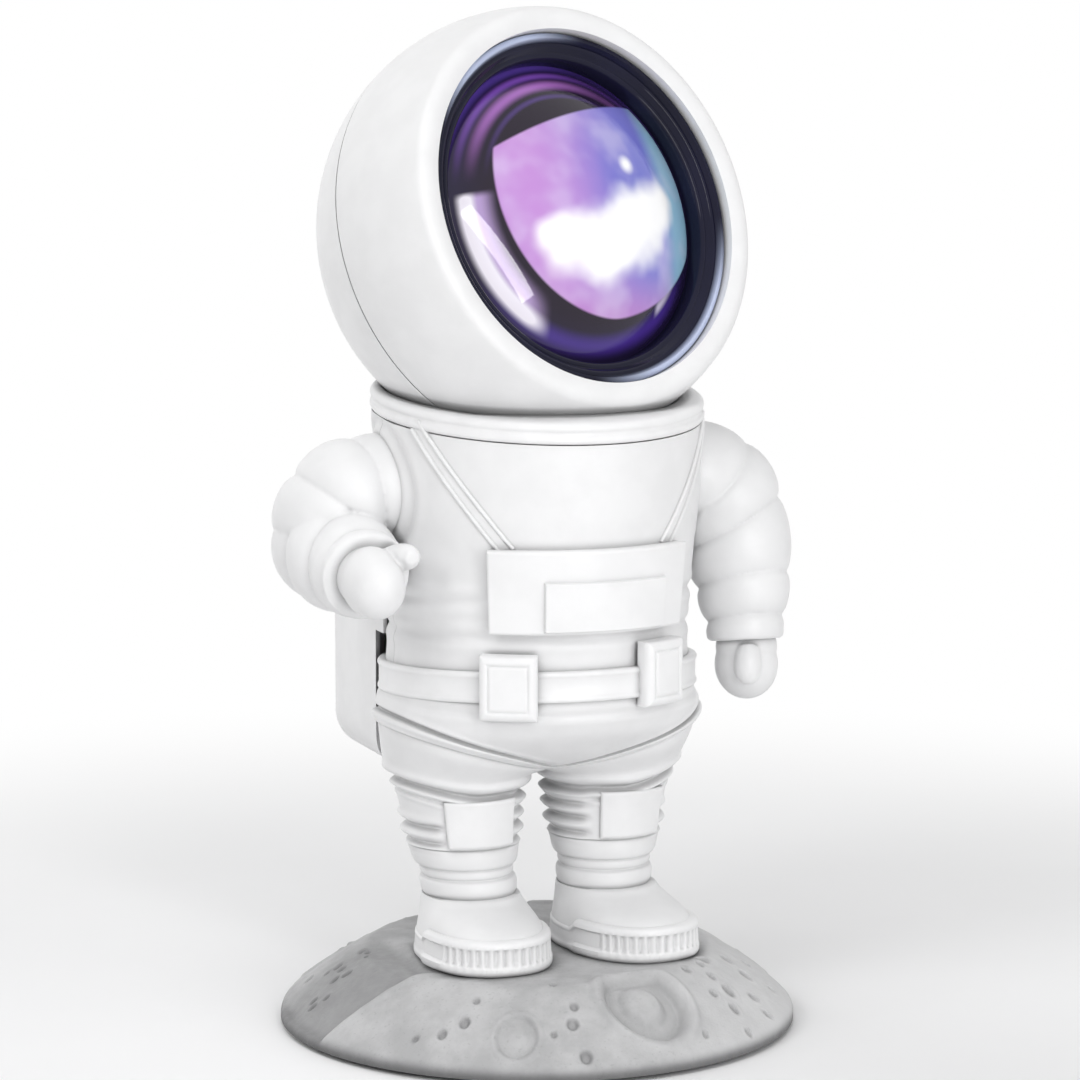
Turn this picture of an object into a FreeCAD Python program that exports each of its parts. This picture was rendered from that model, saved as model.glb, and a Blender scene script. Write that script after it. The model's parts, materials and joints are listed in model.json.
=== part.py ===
"""Astronaut night light: a star and nebula projector in the helmet of a figure that stands on a moon dome.

Millimetres, +Z up. The origin is the centre of the underside. The figure faces -Y, so its right side is -X.
"""

import FreeCAD, Part
import math
import os
import re

import Sketcher

Vector = FreeCAD.Vector
doc = FreeCAD.newDocument("AstronautNightLight")
sheet = doc.addObject("Spreadsheet::Sheet", "Dims")

# Driving dimensions: cell name, value in mm or degrees, meaning
DIMENSIONS = [
    ("slip_fit", 0.05, "radial clearance of a part that turns or slides in its hole"),
    ("shell_gap", 0.3, "clearance between moving outer shells"),
    ("pad_height", 0.8, "thickness of the anti-slip pad"),
    ("pad_radius", 50.0, "radius of the anti-slip pad"),
    ("base_radius", 58.4, "largest radius of the moon base"),
    ("base_height", 16.2, "moon base, from its rim to the plateau that the boots stand on"),
    ("rim_height", 2.6, "upright rim of the moon base"),
    ("dome_radius", 85.0, "radius of the dome's curve"),
    ("base_wall", 3.0, "wall of the moon base"),
    ("plate_thickness", 2.0, "base plate"),
    ("ballast_radius", 33.0, "steel ballast disc"),
    ("ballast_thickness", 5.0, "steel ballast disc"),
    ("crater_radius", 9.6, "mouth radius of the largest crater"),
    ("crater_depth", 1.7, "depth of the largest crater"),
    ("crater_reach", 43.0, "largest crater, distance from the axis"),
    ("crater_angle", -76.0, "largest crater, direction from +X"),
    ("base_screw_reach", 43.0, "base screws, distance from the axis"),
    ("screw_radius", 1.25, "self-tapping screw, shank"),
    ("screw_head_radius", 2.4, "self-tapping screw, head"),
    ("screw_head_height", 1.4, "self-tapping screw, head"),
    ("boss_radius", 3.2, "screw bosses in the shells"),
    ("sole_height", 7.0, "boot sole"),
    ("sole_taper", 0.6, "sole narrower at its upper edge"),
    ("upper_inset", 1.0, "boot upper inside the sole's edge"),
    ("toe_round", 0.9, "boot upper narrower over the toe"),
    ("foot_length", 42.0, "boot sole, heel to toe"),
    ("foot_width", 29.6, "boot sole"),
    ("foot_forward", 7.0, "middle of the foot in front of the leg axis"),
    ("foot_splay", 12.0, "left foot turned out"),
    ("boot_height", 6.5, "boot upper above the sole"),
    ("leg_spacing", 32.6, "between the leg axes at the ankle"),
    ("leg_length", 29.5, "ankle to crotch"),
    ("ankle_radius", 10.8, "leg at the ankle"),
    ("shin_radius", 12.6, "leg below the knee"),
    ("thigh_radius", 17.0, "leg at its top"),
    ("thigh_lean", 1.4, "leg axis further out at the thigh"),
    ("leg_bore", 6.0, "radius of the hollow in each leg"),
    ("bolt_radius", 1.5, "leg bolt, shank"),
    ("bolt_head_radius", 2.8, "leg bolt, head"),
    ("bolt_head_height", 2.2, "leg bolt, head"),
    ("pad_swell", 1.2, "knee pad standing out from the leg"),
    ("knee_pad_width", 15.0, "knee pad"),
    ("knee_pad_height", 12.0, "knee pad"),
    ("hip_height", 21.0, "crotch to waist joint"),
    ("hip_radius", 36.6, "hips at their widest"),
    ("hip_rise", 17.0, "slope of the leg openings"),
    ("body_wall", 2.4, "wall of the torso and hip shells"),
    ("waist_radius", 34.4, "torso at its lower edge"),
    ("middle_radius", 33.8, "torso at its narrowest"),
    ("middle_height", 11.0, "narrowest place above the waist joint"),
    ("chest_radius", 36.9, "torso below the collar"),
    ("torso_height", 57.5, "waist joint to collar"),
    ("belt_height", 7.4, "belt"),
    ("belt_thickness", 1.2, "belt"),
    ("belt_clearance", 0.8, "belt off the torso, room for its slope"),
    ("belt_tilt", 4.5, "belt higher in front"),
    ("pouch_width", 13.5, "belt pouch"),
    ("pouch_height", 13.4, "belt pouch"),
    ("pouch_angle", 29.0, "belt pouches, each side of the front"),
    ("pouch_radius", 39.4, "outer face of the pouches"),
    ("pack_bottom", 13.0, "chest pack above the waist joint"),
    ("pack_height", 17.0, "chest pack"),
    ("pack_half_angle", 37.0, "chest pack, each side of the front"),
    ("pack_radius", 39.3, "outer face of the chest pack"),
    ("panel_height", 11.0, "raised panel of the chest pack"),
    ("panel_angle", 43.0, "raised panel of the chest pack"),
    ("panel_thickness", 1.0, "raised panel of the chest pack"),
    ("strap_width", 4.6, "harness strap"),
    ("strap_thickness", 1.0, "harness strap"),
    ("strap_top_reach", 33.6, "strap's upper end, off the middle"),
    ("strap_low_reach", 19.6, "strap's lower end, off the middle"),
    ("collar_height", 5.0, "collar band"),
    ("collar_radius", 37.7, "collar band, outside"),
    ("collar_mouth", 33.9, "collar band, where the helmet sits in it"),
    ("collar_floor", 30.5, "collar band, inner edge of its foot"),
    ("collar_groove", 0.8, "groove between the collar's two ridges"),
    ("collar_tilt", 4.5, "collar lower in front"),
    ("helmet_radius", 49.0, "helmet ball"),
    ("helmet_wall", 2.5, "helmet shells"),
    ("head_pan", 18.0, "head turned to the figure's left"),
    ("head_pitch", 18.0, "visor looking up"),
    ("seam_back", 7.8, "helmet seam behind the ball's centre"),
    ("seam_lap", 2.5, "rear shell's lip inside the front shell"),
    ("seam_lip", 1.1, "thickness of that lip"),
    ("visor_radius", 40.0, "visor opening"),
    ("visor_front", 18.4, "edge of the visor opening in front of the ball's centre"),
    ("lip_curve", 3.4, "roundness of the lip round the visor opening"),
    ("lens_seat", 9.0, "seat of the lens in front of the ball's centre"),
    ("seat_width", 4.4, "ledge that the lens and bezel stand on"),
    ("seat_thickness", 2.0, "that ledge"),
    ("bezel_height", 7.6, "visor bezel"),
    ("bezel_curve", 9.0, "roundness of the bezel's face"),
    ("bezel_fit", 0.1, "bezel in the visor opening"),
    ("lens_radius", 34.0, "clear part of the visor lens"),
    ("lens_flange", 2.6, "edge of the lens under the bezel"),
    ("lens_edge", 2.1, "thickness of that edge"),
    ("lens_sag", 10.9, "height of the lens's dome"),
    ("lens_wall", 2.2, "thickness of the lens's dome"),
    ("chassis_front", -1.5, "front of the optics chassis, along the visor axis"),
    ("chassis_thickness", 2.5, "optics chassis"),
    ("chassis_radius", 41.5, "optics chassis"),
    ("post_reach", 37.5, "chassis posts of the front shell, off the visor axis"),
    ("beam_radius", 6.0, "light path through the chassis"),
    ("barrel_radius", 9.0, "projection barrel"),
    ("barrel_wall", 1.5, "projection barrel"),
    ("barrel_length", 11.0, "projection barrel"),
    ("barrel_lens_height", 4.0, "projection lens"),
    ("disc_drop", 17.0, "effect disc's shaft below the visor axis"),
    ("disc_radius", 22.0, "effect disc"),
    ("disc_thickness", 1.5, "effect disc"),
    ("disc_clearance", 1.5, "effect disc behind the chassis"),
    ("disc_shaft_radius", 1.5, "effect disc's shaft"),
    ("motor_radius", 7.5, "disc motor"),
    ("motor_length", 11.0, "disc motor"),
    ("shaft_grip", 6.0, "shaft inside the motor"),
    ("pillar_reach", 20.0, "heat sink pillars, each side"),
    ("pillar_rise", 10.0, "heat sink pillars above the visor axis"),
    ("pillar_radius", 2.5, "heat sink pillars"),
    ("pillar_length", 12.0, "heat sink pillars"),
    ("sink_width", 46.0, "heat sink"),
    ("sink_height", 22.0, "heat sink"),
    ("sink_plate", 2.6, "heat sink's plate"),
    ("fin_length", 8.0, "heat sink's fins"),
    ("fin_thickness", 1.6, "heat sink's fins"),
    ("fin_count", 6, "heat sink's fins"),
    ("led_board_radius", 9.0, "light board"),
    ("led_board_thickness", 1.6, "light board"),
    ("emitter_radius", 3.2, "light emitter's dome"),
    ("laser_radius", 4.0, "laser module"),
    ("laser_length", 15.0, "laser module"),
    ("laser_side", -14.0, "laser module beside the visor axis"),
    ("laser_rise", 20.0, "laser module above the visor axis"),
    ("laser_proud", 4.0, "laser module in front of the chassis"),
    ("grating_thickness", 1.0, "diffraction grating"),
    ("keeper_thickness", 1.2, "steel keeper inside the helmet"),
    ("keeper_radius", 17.0, "steel keeper"),
    ("tilt_down", 15.0, "head tilt, downwards travel"),
    ("tilt_up", 25.0, "head tilt, upwards travel"),
    ("slot_margin", 4.5, "cable slot past the tilt's travel"),
    ("slot_radius", 3.0, "half width of the cable slot"),
    ("cup_radius", 20.0, "swivel cup"),
    ("cup_floor", 3.3, "swivel cup under the helmet's lowest point"),
    ("spigot_radius", 9.0, "swivel cup's spigot"),
    ("spigot_length", 6.4, "swivel cup's spigot below its foot"),
    ("cable_radius", 1.8, "lead from the body to the head"),
    ("cable_turn", 34.0, "lead's turn to the backpack, below the swivel cup's foot"),
    ("cable_rise", 14.0, "lead's bend in the head, above the swivel cup's foot"),
    ("magnet_inner", 11.0, "ring magnet"),
    ("magnet_outer", 16.5, "ring magnet"),
    ("magnet_height", 1.9, "ring magnet"),
    ("clip_thickness", 1.0, "circlip on the spigot"),
    ("clip_depth", 1.0, "circlip's groove"),
    ("clip_radius", 12.0, "circlip"),
    ("deck_thickness", 3.0, "neck deck"),
    ("deck_half_width", 25.0, "neck deck between the shoulder bolts"),
    ("shoulder_drop", 15.5, "shoulder axis below the collar"),
    ("shoulder_back", 2.0, "shoulder axis behind the middle"),
    ("bush_radius", 9.5, "shoulder bush"),
    ("bush_inner", 30.0, "inner face of the shoulder bush, from the middle"),
    ("bush_outer", 37.7, "outer face of the shoulder bush, from the middle"),
    ("pivot_radius", 4.0, "shoulder bolt, shank"),
    ("pivot_grip", 8.0, "shoulder bolt in the sleeve"),
    ("pivot_head_radius", 6.0, "shoulder bolt, head"),
    ("pivot_head_height", 3.0, "shoulder bolt, head"),
    ("right_elbow_out", 10.5, "right elbow, outwards from the sleeve's face"),
    ("right_elbow_back", 4.0, "right elbow, behind the shoulder axis"),
    ("right_elbow_drop", 11.5, "right elbow, below the shoulder axis"),
    ("right_wrist_out", 8.4, "right wrist, outwards from the sleeve's face"),
    ("right_wrist_ahead", 16.0, "right wrist, in front of the shoulder axis"),
    ("right_wrist_drop", 16.5, "right wrist, below the shoulder axis"),
    ("left_wrist_out", 10.8, "left wrist, outwards from the sleeve's face"),
    ("left_wrist_ahead", 9.0, "left wrist, in front of the shoulder axis"),
    ("left_wrist_drop", 34.0, "left wrist, below the shoulder axis"),
    ("shoulder_radius", 12.2, "sleeve at the shoulder"),
    ("upper_arm_radius", 12.2, "upper sleeve"),
    ("forearm_radius", 11.0, "lower sleeve"),
    ("wrist_radius", 9.0, "sleeve at the cuff"),
    ("cuff_length", 4.2, "glove's cuff"),
    ("palm_length", 14.5, "glove, along the hand"),
    ("palm_width", 14.0, "glove, across the knuckles"),
    ("palm_depth", 12.6, "glove, through the palm"),
    ("thumb_radius", 3.0, "glove's thumb"),
    ("thumb_length", 6.0, "glove's thumb"),
    ("pack_half_width", 32.5, "backpack, each side of the middle"),
    ("pack_low", 4.0, "backpack's lower edge below the crotch"),
    ("pack_tall", 71.0, "backpack's height"),
    ("pack_rear", 52.6, "backpack's rear face behind the middle"),
    ("pack_front", 12.0, "backpack's front edge behind the middle"),
    ("pack_corner", 9.0, "backpack's rounded corners"),
    ("pack_wall", 2.2, "backpack's wall"),
    ("cover_depth", 6.0, "backpack cover, edge to rear face"),
    ("cover_edge", 4.6, "roundness of the cover's rear edge"),
    ("cover_wall", 2.0, "backpack cover"),
    ("button_radius", 5.0, "push buttons"),
    ("button_proud", 1.2, "push buttons standing out"),
    ("button_travel", 0.7, "push buttons' travel"),
    ("button_flange", 1.2, "push buttons' retaining flange, radius past the cap"),
    ("button_flange_depth", 1.0, "push buttons' retaining flange"),
    ("button_stem_radius", 1.5, "push buttons' stem"),
    ("button_stem_length", 1.4, "push buttons' stem"),
    ("button_pitch", 15.0, "between the push buttons"),
    ("button_top", 16.0, "highest button below the backpack's upper edge"),
    ("switch_width", 6.0, "switches on the board"),
    ("switch_depth", 3.5, "switches on the board"),
    ("plunger_radius", 1.6, "switch plunger"),
    ("plunger_depth", 0.8, "switch plunger"),
    ("board_width", 44.0, "main board"),
    ("board_height", 58.0, "main board"),
    ("board_thickness", 1.6, "main board"),
    ("inlet_height", 10.0, "power inlet above the backpack's lower edge"),
    ("inlet_width", 8.94, "power inlet's metal shell"),
    ("inlet_thickness", 3.26, "power inlet's metal shell"),
    ("inlet_wall", 0.32, "power inlet's metal shell"),
    ("inlet_mouth", 6.2, "depth of the power inlet's mouth"),
    ("tongue_width", 6.7, "power inlet's tongue"),
    ("tongue_thickness", 0.7, "power inlet's tongue"),
    ("inlet_window", 0.25, "cover's opening round the inlet"),
    ("rib_height", 26.0, "backpack's rib below its upper edge"),
    ("rib_thickness", 3.0, "backpack's rib"),
    ("rib_screw_reach", 12.0, "backpack screws, each side"),
    ("rib_screw_length", 8.6, "backpack screws"),
]
CELLS = set()
for row, (alias, value, meaning) in enumerate(DIMENSIONS, 1):
    sheet.set(f"A{row}", meaning)
    sheet.set(f"B{row}", str(value))
    sheet.setAlias(f"B{row}", alias)
    CELLS.add(alias)
doc.recompute()

# Levels and places worked out from the cells
DERIVED = {
    "rim_top": "pad_height + rim_height",
    "plateau": "pad_height + base_height",
    "dome_centre": "rim_top - sqrt(dome_radius ^ 2 - base_radius ^ 2)",
    "plateau_radius": "sqrt(dome_radius ^ 2 - (plateau - dome_centre) ^ 2)",
    "inner_dome": "dome_radius - base_wall",
    "inner_plateau": "plateau - base_wall",
    "inner_plateau_radius": "sqrt(inner_dome ^ 2 - (inner_plateau - dome_centre) ^ 2)",
    "inner_rim": "sqrt(inner_dome ^ 2 - (plate_top - dome_centre) ^ 2)",
    "plate_top": "pad_height + plate_thickness",
    "plate_radius": "inner_rim - slip_fit",
    "boss_top": "sqrt(inner_dome ^ 2 - (base_screw_reach - boss_radius) ^ 2) + dome_centre",
    "crater_level": "sqrt(dome_radius ^ 2 - crater_reach ^ 2) + dome_centre",
    "crater_ball": "(crater_radius ^ 2 + crater_depth ^ 2) / (2 * crater_depth)",
    "sole_top": "plateau + sole_height",
    "ankle": "sole_top + boot_height",
    "crotch": "ankle + leg_length",
    "waist": "crotch + hip_height",
    "leg_x": "leg_spacing / 2",
    "thigh_x": "leg_x + thigh_lean",
    "collar": "waist + torso_height",
    "collar_top": "collar + collar_height",
    "seat_radius": "helmet_radius + shell_gap",
    "helmet_z": "collar_top + sqrt(seat_radius ^ 2 - collar_mouth ^ 2)",
    "cup_foot": "helmet_z - seat_radius - cup_floor",
    "deck_low": "cup_foot - deck_thickness",
    "cable_bore": "cable_radius + shell_gap",
    "cable_level": "cup_foot - cable_turn",
    "shoulder": "collar - shoulder_drop",
    "sleeve_face": "bush_outer + shell_gap",
    "belt_inner": "waist_radius + belt_clearance",
    "belt_radius": "belt_inner + belt_thickness",
    "pack_z": "crotch - pack_low",
    "pack_top": "pack_z + pack_tall",
    "cover_front": "pack_rear - cover_depth",
    "cover_inside": "pack_rear - cover_wall",
    "button_foot": "cover_inside - button_flange_depth - button_stem_length",
    "switch_top": "button_foot - button_travel - 2 * slip_fit - plunger_depth",
    "board_rear": "switch_top - switch_depth",
    "board_front": "board_rear - board_thickness",
    "inlet_z": "pack_z + inlet_height",
    "board_z": "pack_z + pack_tall / 2",
    "chassis_rear": "chassis_front - chassis_thickness",
    "disc_front": "chassis_rear - disc_clearance",
    "sink_front": "chassis_rear - pillar_length",
    "lens_outer": "lens_radius + lens_flange",
    "lens_rim": "lens_seat + lens_edge",
    "lens_curve": "(lens_radius ^ 2 + lens_sag ^ 2) / (2 * lens_sag)",
    "inner_ball": "helmet_radius - helmet_wall",
    "lip_ring": "inner_ball + seam_lip",
    "rib_z": "pack_top - rib_height",
}


def formula(text):
    """A size spelled out in the sheet's cells."""
    def spell(match):
        word = match.group(0)
        if word in DERIVED:
            return "(" + formula(DERIVED[word]) + ")"
        return "Dims." + word if word in CELLS else word
    return re.sub(r"[a-z][a-z_]*", spell, str(text))


def size(text):
    """The same size as a number."""
    return float(sheet.evalExpression(formula(text)))


def bind(item, **sizes):
    for name, text in sizes.items():
        item.setExpression(name, formula(text))
    return item


# Frames: the world, and the head's, whose z runs out of the visor and whose y runs up
LEVEL = "rotation(vector(0; 0; 1); 0)"
ALONG_Y = "rotation(vector(1; 0; 0); -90)"
AGAINST_Y = "rotation(vector(1; 0; 0); 90)"
HEAD = ("placement(vector(0; 0; helmet_z); "
        "rotation(vector(0; 0; 1); head_pan) * rotation(vector(1; 0; 0); 90 - head_pitch))")


def put(item, x="0", y="0", z="0", turn=LEVEL, frame=None):
    """Bind an item's place: an offset and a turn, in the world or in a frame."""
    place = f"placement(vector({x}; {y}; {z}); {turn})"
    if frame:
        place = f"{frame} * {place}"
    item.setExpression("Placement", formula(place))
    return item


def about(axis, angle):
    return f"rotation(vector({axis}); {angle})"


def new(kind, name):
    return doc.addObject(kind, name)


def box(name, length, width, height, **place):
    """A box centred on its place in x and y, standing on it in z."""
    item = bind(new("Part::Box", name), Length=length, Width=width, Height=height)
    turn = place.pop("turn", LEVEL)
    frame = place.pop("frame", None)
    corner = f"placement(vector(-({length}) / 2; -({width}) / 2; 0); {LEVEL})"
    spot = "; ".join(str(place.get(axis, "0")) for axis in "xyz")
    text = f"placement(vector({spot}); {turn}) * {corner}"
    item.setExpression("Placement", formula(f"{frame} * {text}" if frame else text))
    return item


def rod(name, radius, height, **place):
    return put(bind(new("Part::Cylinder", name), Radius=radius, Height=height), **place)


def ball(name, radius, **place):
    return put(bind(new("Part::Sphere", name), Radius=radius), **place)


def fuse(name, *items):
    item = new("Part::MultiFuse", name)
    item.Shapes = list(items)
    return item


def cut(name, base, *tools):
    item = new("Part::Cut", name)
    item.Base = base
    item.Tool = tools[0] if len(tools) == 1 else fuse(name + "_tools", *tools)
    return item


def common(name, *items):
    item = new("Part::MultiCommon", name)
    item.Shapes = list(items)
    return item


def oval(name, long_radius, short_radius, **place):
    """An ellipse whose long axis is its own x."""
    return put(bind(new("Part::Ellipse", name), MajorRadius=long_radius, MinorRadius=short_radius), **place)


def loft(name, *sections):
    item = new("Part::Loft", name)
    item.Sections = list(sections)
    item.Solid = True
    return item


def origin_plane(body, role):
    return next(plane for plane in body.Origin.OriginFeatures if plane.Role == role)


def sketch_on(body, role, name):
    sketch = body.newObject("Sketcher::SketchObject", name)
    sketch.AttachmentSupport = [(origin_plane(body, role), "")]
    sketch.MapMode = "FlatFace"
    return sketch


def arc_between(start, end, radius, side):
    """The short arc from start to end with its centre on the left (+1) or right (-1)."""
    chord = end - start
    across = Vector(-chord.y, chord.x, 0).normalize() * side
    reach = math.sqrt(radius ** 2 - (chord.Length / 2) ** 2)
    centre = (start + end) / 2 + across * reach
    first, last = (start, end) if side > 0 else (end, start)
    begin = math.atan2(first.y - centre.y, first.x - centre.x)
    finish = math.atan2(last.y - centre.y, last.x - centre.x)
    return Part.ArcOfCircle(Part.Circle(centre, Vector(0, 0, 1), radius), begin, finish)


def hold(sketch, kind, ends, text):
    """Hold a sketch point's distance from the origin to a formula, whichever its sign."""
    value = size(text)
    on_axis = {"DistanceX": -2, "DistanceY": -1}[kind]
    if abs(value) < 1e-9:
        sketch.addConstraint(Sketcher.Constraint("PointOnObject", *ends, on_axis))
        return
    order = (-1, 1, *ends) if value > 0 else (*ends, -1, 1)
    index = sketch.addConstraint(Sketcher.Constraint(kind, *order, abs(value)))
    sketch.setExpression(f"Constraints[{index}]", formula(text if value > 0 else f"-({text})"))


def draw(sketch, corners):
    """Draw a closed outline. A corner is (x, y), or (x, y, radius, side) where an arc follows it."""
    points = [Vector(size(corner[0]), size(corner[1]), 0) for corner in corners]
    edges = []
    for index, corner in enumerate(corners):
        start = points[index]
        end = points[(index + 1) % len(points)]
        side = corner[3] if len(corner) == 4 else 0
        curve = arc_between(start, end, size(corner[2]), side) if side else Part.LineSegment(start, end)
        edges.append((sketch.addGeometry(curve, False), side))
    for index, corner in enumerate(corners):
        edge, side = edges[index]
        before, side_before = edges[index - 1]
        begin = (edge, 2 if side < 0 else 1)
        sketch.addConstraint(Sketcher.Constraint("Coincident", before, 1 if side_before < 0 else 2, *begin))
        hold(sketch, "DistanceX", begin, corner[0])
        hold(sketch, "DistanceY", begin, corner[1])
        if side:
            radius = sketch.addConstraint(Sketcher.Constraint("Radius", edge, size(corner[2])))
            sketch.setExpression(f"Constraints[{radius}]", formula(corner[2]))


def turned(name, corners, sweep=360, **place):
    """A body turned about its own z from an outline of (radius, height) corners."""
    body = new("PartDesign::Body", name)
    sketch = sketch_on(body, "XZ_Plane", name + "_outline")
    draw(sketch, corners)
    turn = body.newObject("PartDesign::Revolution", name + "_turn")
    turn.Profile = sketch
    turn.ReferenceAxis = (sketch, ["V_Axis"])
    turn.Angle = sweep
    return put(body, **place)


def rounded_plate(name, width, height, corner, depth, **place):
    """A body padded along its own z from a rectangle with round corners."""
    w = f"({width}) / 2"
    h = f"({height}) / 2"
    u = f"({w} - ({corner}))"
    v = f"({h} - ({corner}))"
    body = new("PartDesign::Body", name)
    sketch = sketch_on(body, "XY_Plane", name + "_outline")
    draw(sketch, [
        (f"-{u}", f"-({h})"), (u, f"-({h})", corner, 1),
        (w, f"-{v}"), (w, v, corner, 1),
        (u, h), (f"-{u}", h, corner, 1),
        (f"-({w})", v), (f"-({w})", f"-{v}", corner, 1),
    ])
    pad = body.newObject("PartDesign::Pad", name + "_pad")
    pad.Profile = sketch
    pad.setExpression("Length", formula(depth))
    return put(body, **place)


def screw(name, length, x="0", y="0", z="0", turn=LEVEL, frame=None):
    """A self-tapping screw: its place is under its head, and its shank runs along its own z."""
    spot = f"placement(vector({x}; {y}; {z}); {turn})"
    line = f"{frame} * {spot}" if frame else spot
    return [rod(name, "screw_radius", length, frame=line),
            rod(name + "_head", "screw_head_radius", "screw_head_height", z="-screw_head_height",
                frame=line)]


SIDES = [("right", "-"), ("left", "")]
NODES = []


def node(label, item):
    """Keep an item as one piece of the object."""
    item.Label = label
    NODES.append(item)
    return item


def ring_of(name, count, reach, make):
    """Copies of one item spread evenly round the z axis, made by make(name, x, y)."""
    items = []
    for index in range(count):
        angle = 90 + 360 / count * index
        items.append(make(f"{name}_{index}", f"({reach}) * cos({angle})", f"({reach}) * sin({angle})"))
    return items


# Moon base
def moon_base():
    dome = turned("dome", [
        ("0", "inner_plateau"), ("inner_plateau_radius", "inner_plateau", "inner_dome", -1),
        ("inner_rim", "plate_top"), ("inner_rim", "pad_height"), ("base_radius", "pad_height"),
        ("base_radius", "rim_top", "dome_radius", 1), ("plateau_radius", "plateau"), ("0", "plateau"),
    ])
    bosses = ring_of("base_boss", 3, "base_screw_reach", lambda name, x, y: rod(
        name, "boss_radius", "boss_top - plate_top", x=x, y=y, z="plate_top"))
    holes = ring_of("base_boss_hole", 3, "base_screw_reach", lambda name, x, y: rod(
        name, "screw_radius", "boss_top - plate_top - screw_radius", x=x, y=y, z="plate_top"))
    reach = "(1 + (crater_ball - crater_depth) / dome_radius)"
    crater = ball("crater", "crater_ball", x=f"{reach} * crater_reach * cos(crater_angle)",
                  y=f"{reach} * crater_reach * sin(crater_angle)",
                  z=f"dome_centre + {reach} * (crater_level - dome_centre)")
    bolts = [rod(side + "_base_bolt_hole", "bolt_radius + slip_fit", "base_wall + 2 * slip_fit",
                 x=sign + "leg_x", z="inner_plateau - slip_fit") for side, sign in SIDES]
    node("moon_base", cut("moon_base_cut", fuse("moon_base_solid", dome, *bosses), crater, *holes, *bolts))


def base_parts():
    plate = rod("plate_disc", "plate_radius", "plate_thickness", z="pad_height")
    holes = ring_of("plate_hole", 3, "base_screw_reach", lambda name, x, y: rod(
        name, "screw_radius + slip_fit", "plate_thickness", x=x, y=y, z="pad_height"))
    sinks = ring_of("plate_sink", 3, "base_screw_reach", lambda name, x, y: rod(
        name, "screw_head_radius + slip_fit", "screw_head_height", x=x, y=y, z="pad_height"))
    node("base_plate", cut("base_plate_cut", plate, *holes, *sinks))
    node("base_ballast", rod("ballast_disc", "ballast_radius", "ballast_thickness", z="plate_top"))
    node("anti_slip_pad", rod("pad_disc", "pad_radius", "pad_height"))
    screws = ring_of("base_screw", 3, "base_screw_reach", lambda name, x, y: fuse(name + "_solid", *screw(
        name, "boss_top - screw_radius - pad_height - screw_head_height", x=x, y=y,
        z="pad_height + screw_head_height")))
    node("base_screws", fuse("base_screw_set", *screws))


# Boots and legs
def boots():
    bolts = []
    for side, sign in SIDES:
        splay = about("0; 0; 1", "90" if side == "right" else "90 + foot_splay")
        foot_x = "-leg_x" if side == "right" else "leg_x + foot_forward * sin(foot_splay)"
        foot_y = "-foot_forward" if side == "right" else "-foot_forward * cos(foot_splay)"
        bolt = rod(side + "_boot_bolt_hole", "bolt_radius + slip_fit", "ankle - plateau", x=sign + "leg_x",
                   z="plateau")

        def outline(name, shrink, z, back="0"):
            return oval(f"{side}_{name}", f"foot_length / 2 - {shrink}", f"foot_width / 2 - {shrink}",
                        x=foot_x, y=f"{foot_y} + {back}", z=z, turn=splay)

        sole = loft(side + "_sole_loft", outline("sole_low", "0", "plateau"),
                    outline("sole_high", "sole_taper", "sole_top"))
        node(side + "_boot_sole", cut(side + "_sole_cut", sole, bolt))
        upper = loft(
            side + "_upper_loft",
            outline("upper_low", "upper_inset", "sole_top"),
            outline("upper_toe", "(upper_inset + toe_round)", "sole_top + boot_height * 0.45",
                    "foot_forward * 0.12"),
            oval(side + "_upper_high", "ankle_radius + slip_fit", "ankle_radius",
                 x=sign + "leg_x", z="ankle", turn=splay))
        node(side + "_boot", cut(side + "_boot_cut", upper, bolt))
        head = rod(side + "_bolt_head", "bolt_head_radius", "bolt_head_height",
                   x=sign + "leg_x", z="inner_plateau - bolt_head_height")
        shank = rod(side + "_bolt_shank", "bolt_radius", "ankle + bolt_head_radius - inner_plateau",
                    x=sign + "leg_x", z="inner_plateau")
        bolts += [head, shank]
    node("leg_bolts", fuse("leg_bolt_set", *bolts))


def leg_form(side, sign, name, swell):
    """One leg's rounded form, from the ankle up past the hips' slanted edge."""
    stages = [
        ("ankle_radius", "leg_x", "ankle"),
        ("ankle_radius * 0.6 + shin_radius * 0.4", "leg_x", "ankle + leg_length * 0.13"),
        ("shin_radius", "leg_x + thigh_lean * 0.2", "ankle + leg_length * 0.42"),
        ("thigh_radius * 0.7 + shin_radius * 0.3", "leg_x + thigh_lean * 0.6", "ankle + leg_length * 0.68"),
        ("thigh_radius", "thigh_x", "ankle + leg_length * 0.95"),
        ("thigh_radius", "thigh_x", "crotch + hip_height * 0.7"),
    ]
    rings = []
    for index, (radius, x, z) in enumerate(stages):
        ring = bind(new("Part::Circle", f"{side}_{name}_{index}"), Radius=f"{radius} + {swell}")
        rings.append(put(ring, x=f"{sign}({x})", z=z))
    return loft(f"{side}_{name}", *rings)


def hip_slope(name, side):
    """Everything above one leg opening's slanted plane."""
    lean = "hip_rise" if side == "right" else "-hip_rise"
    return box(f"{side}_{name}", "6 * hip_radius", "4 * hip_radius", "2 * hip_radius", z="crotch",
               turn=about("0; 1; 0", lean))


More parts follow.
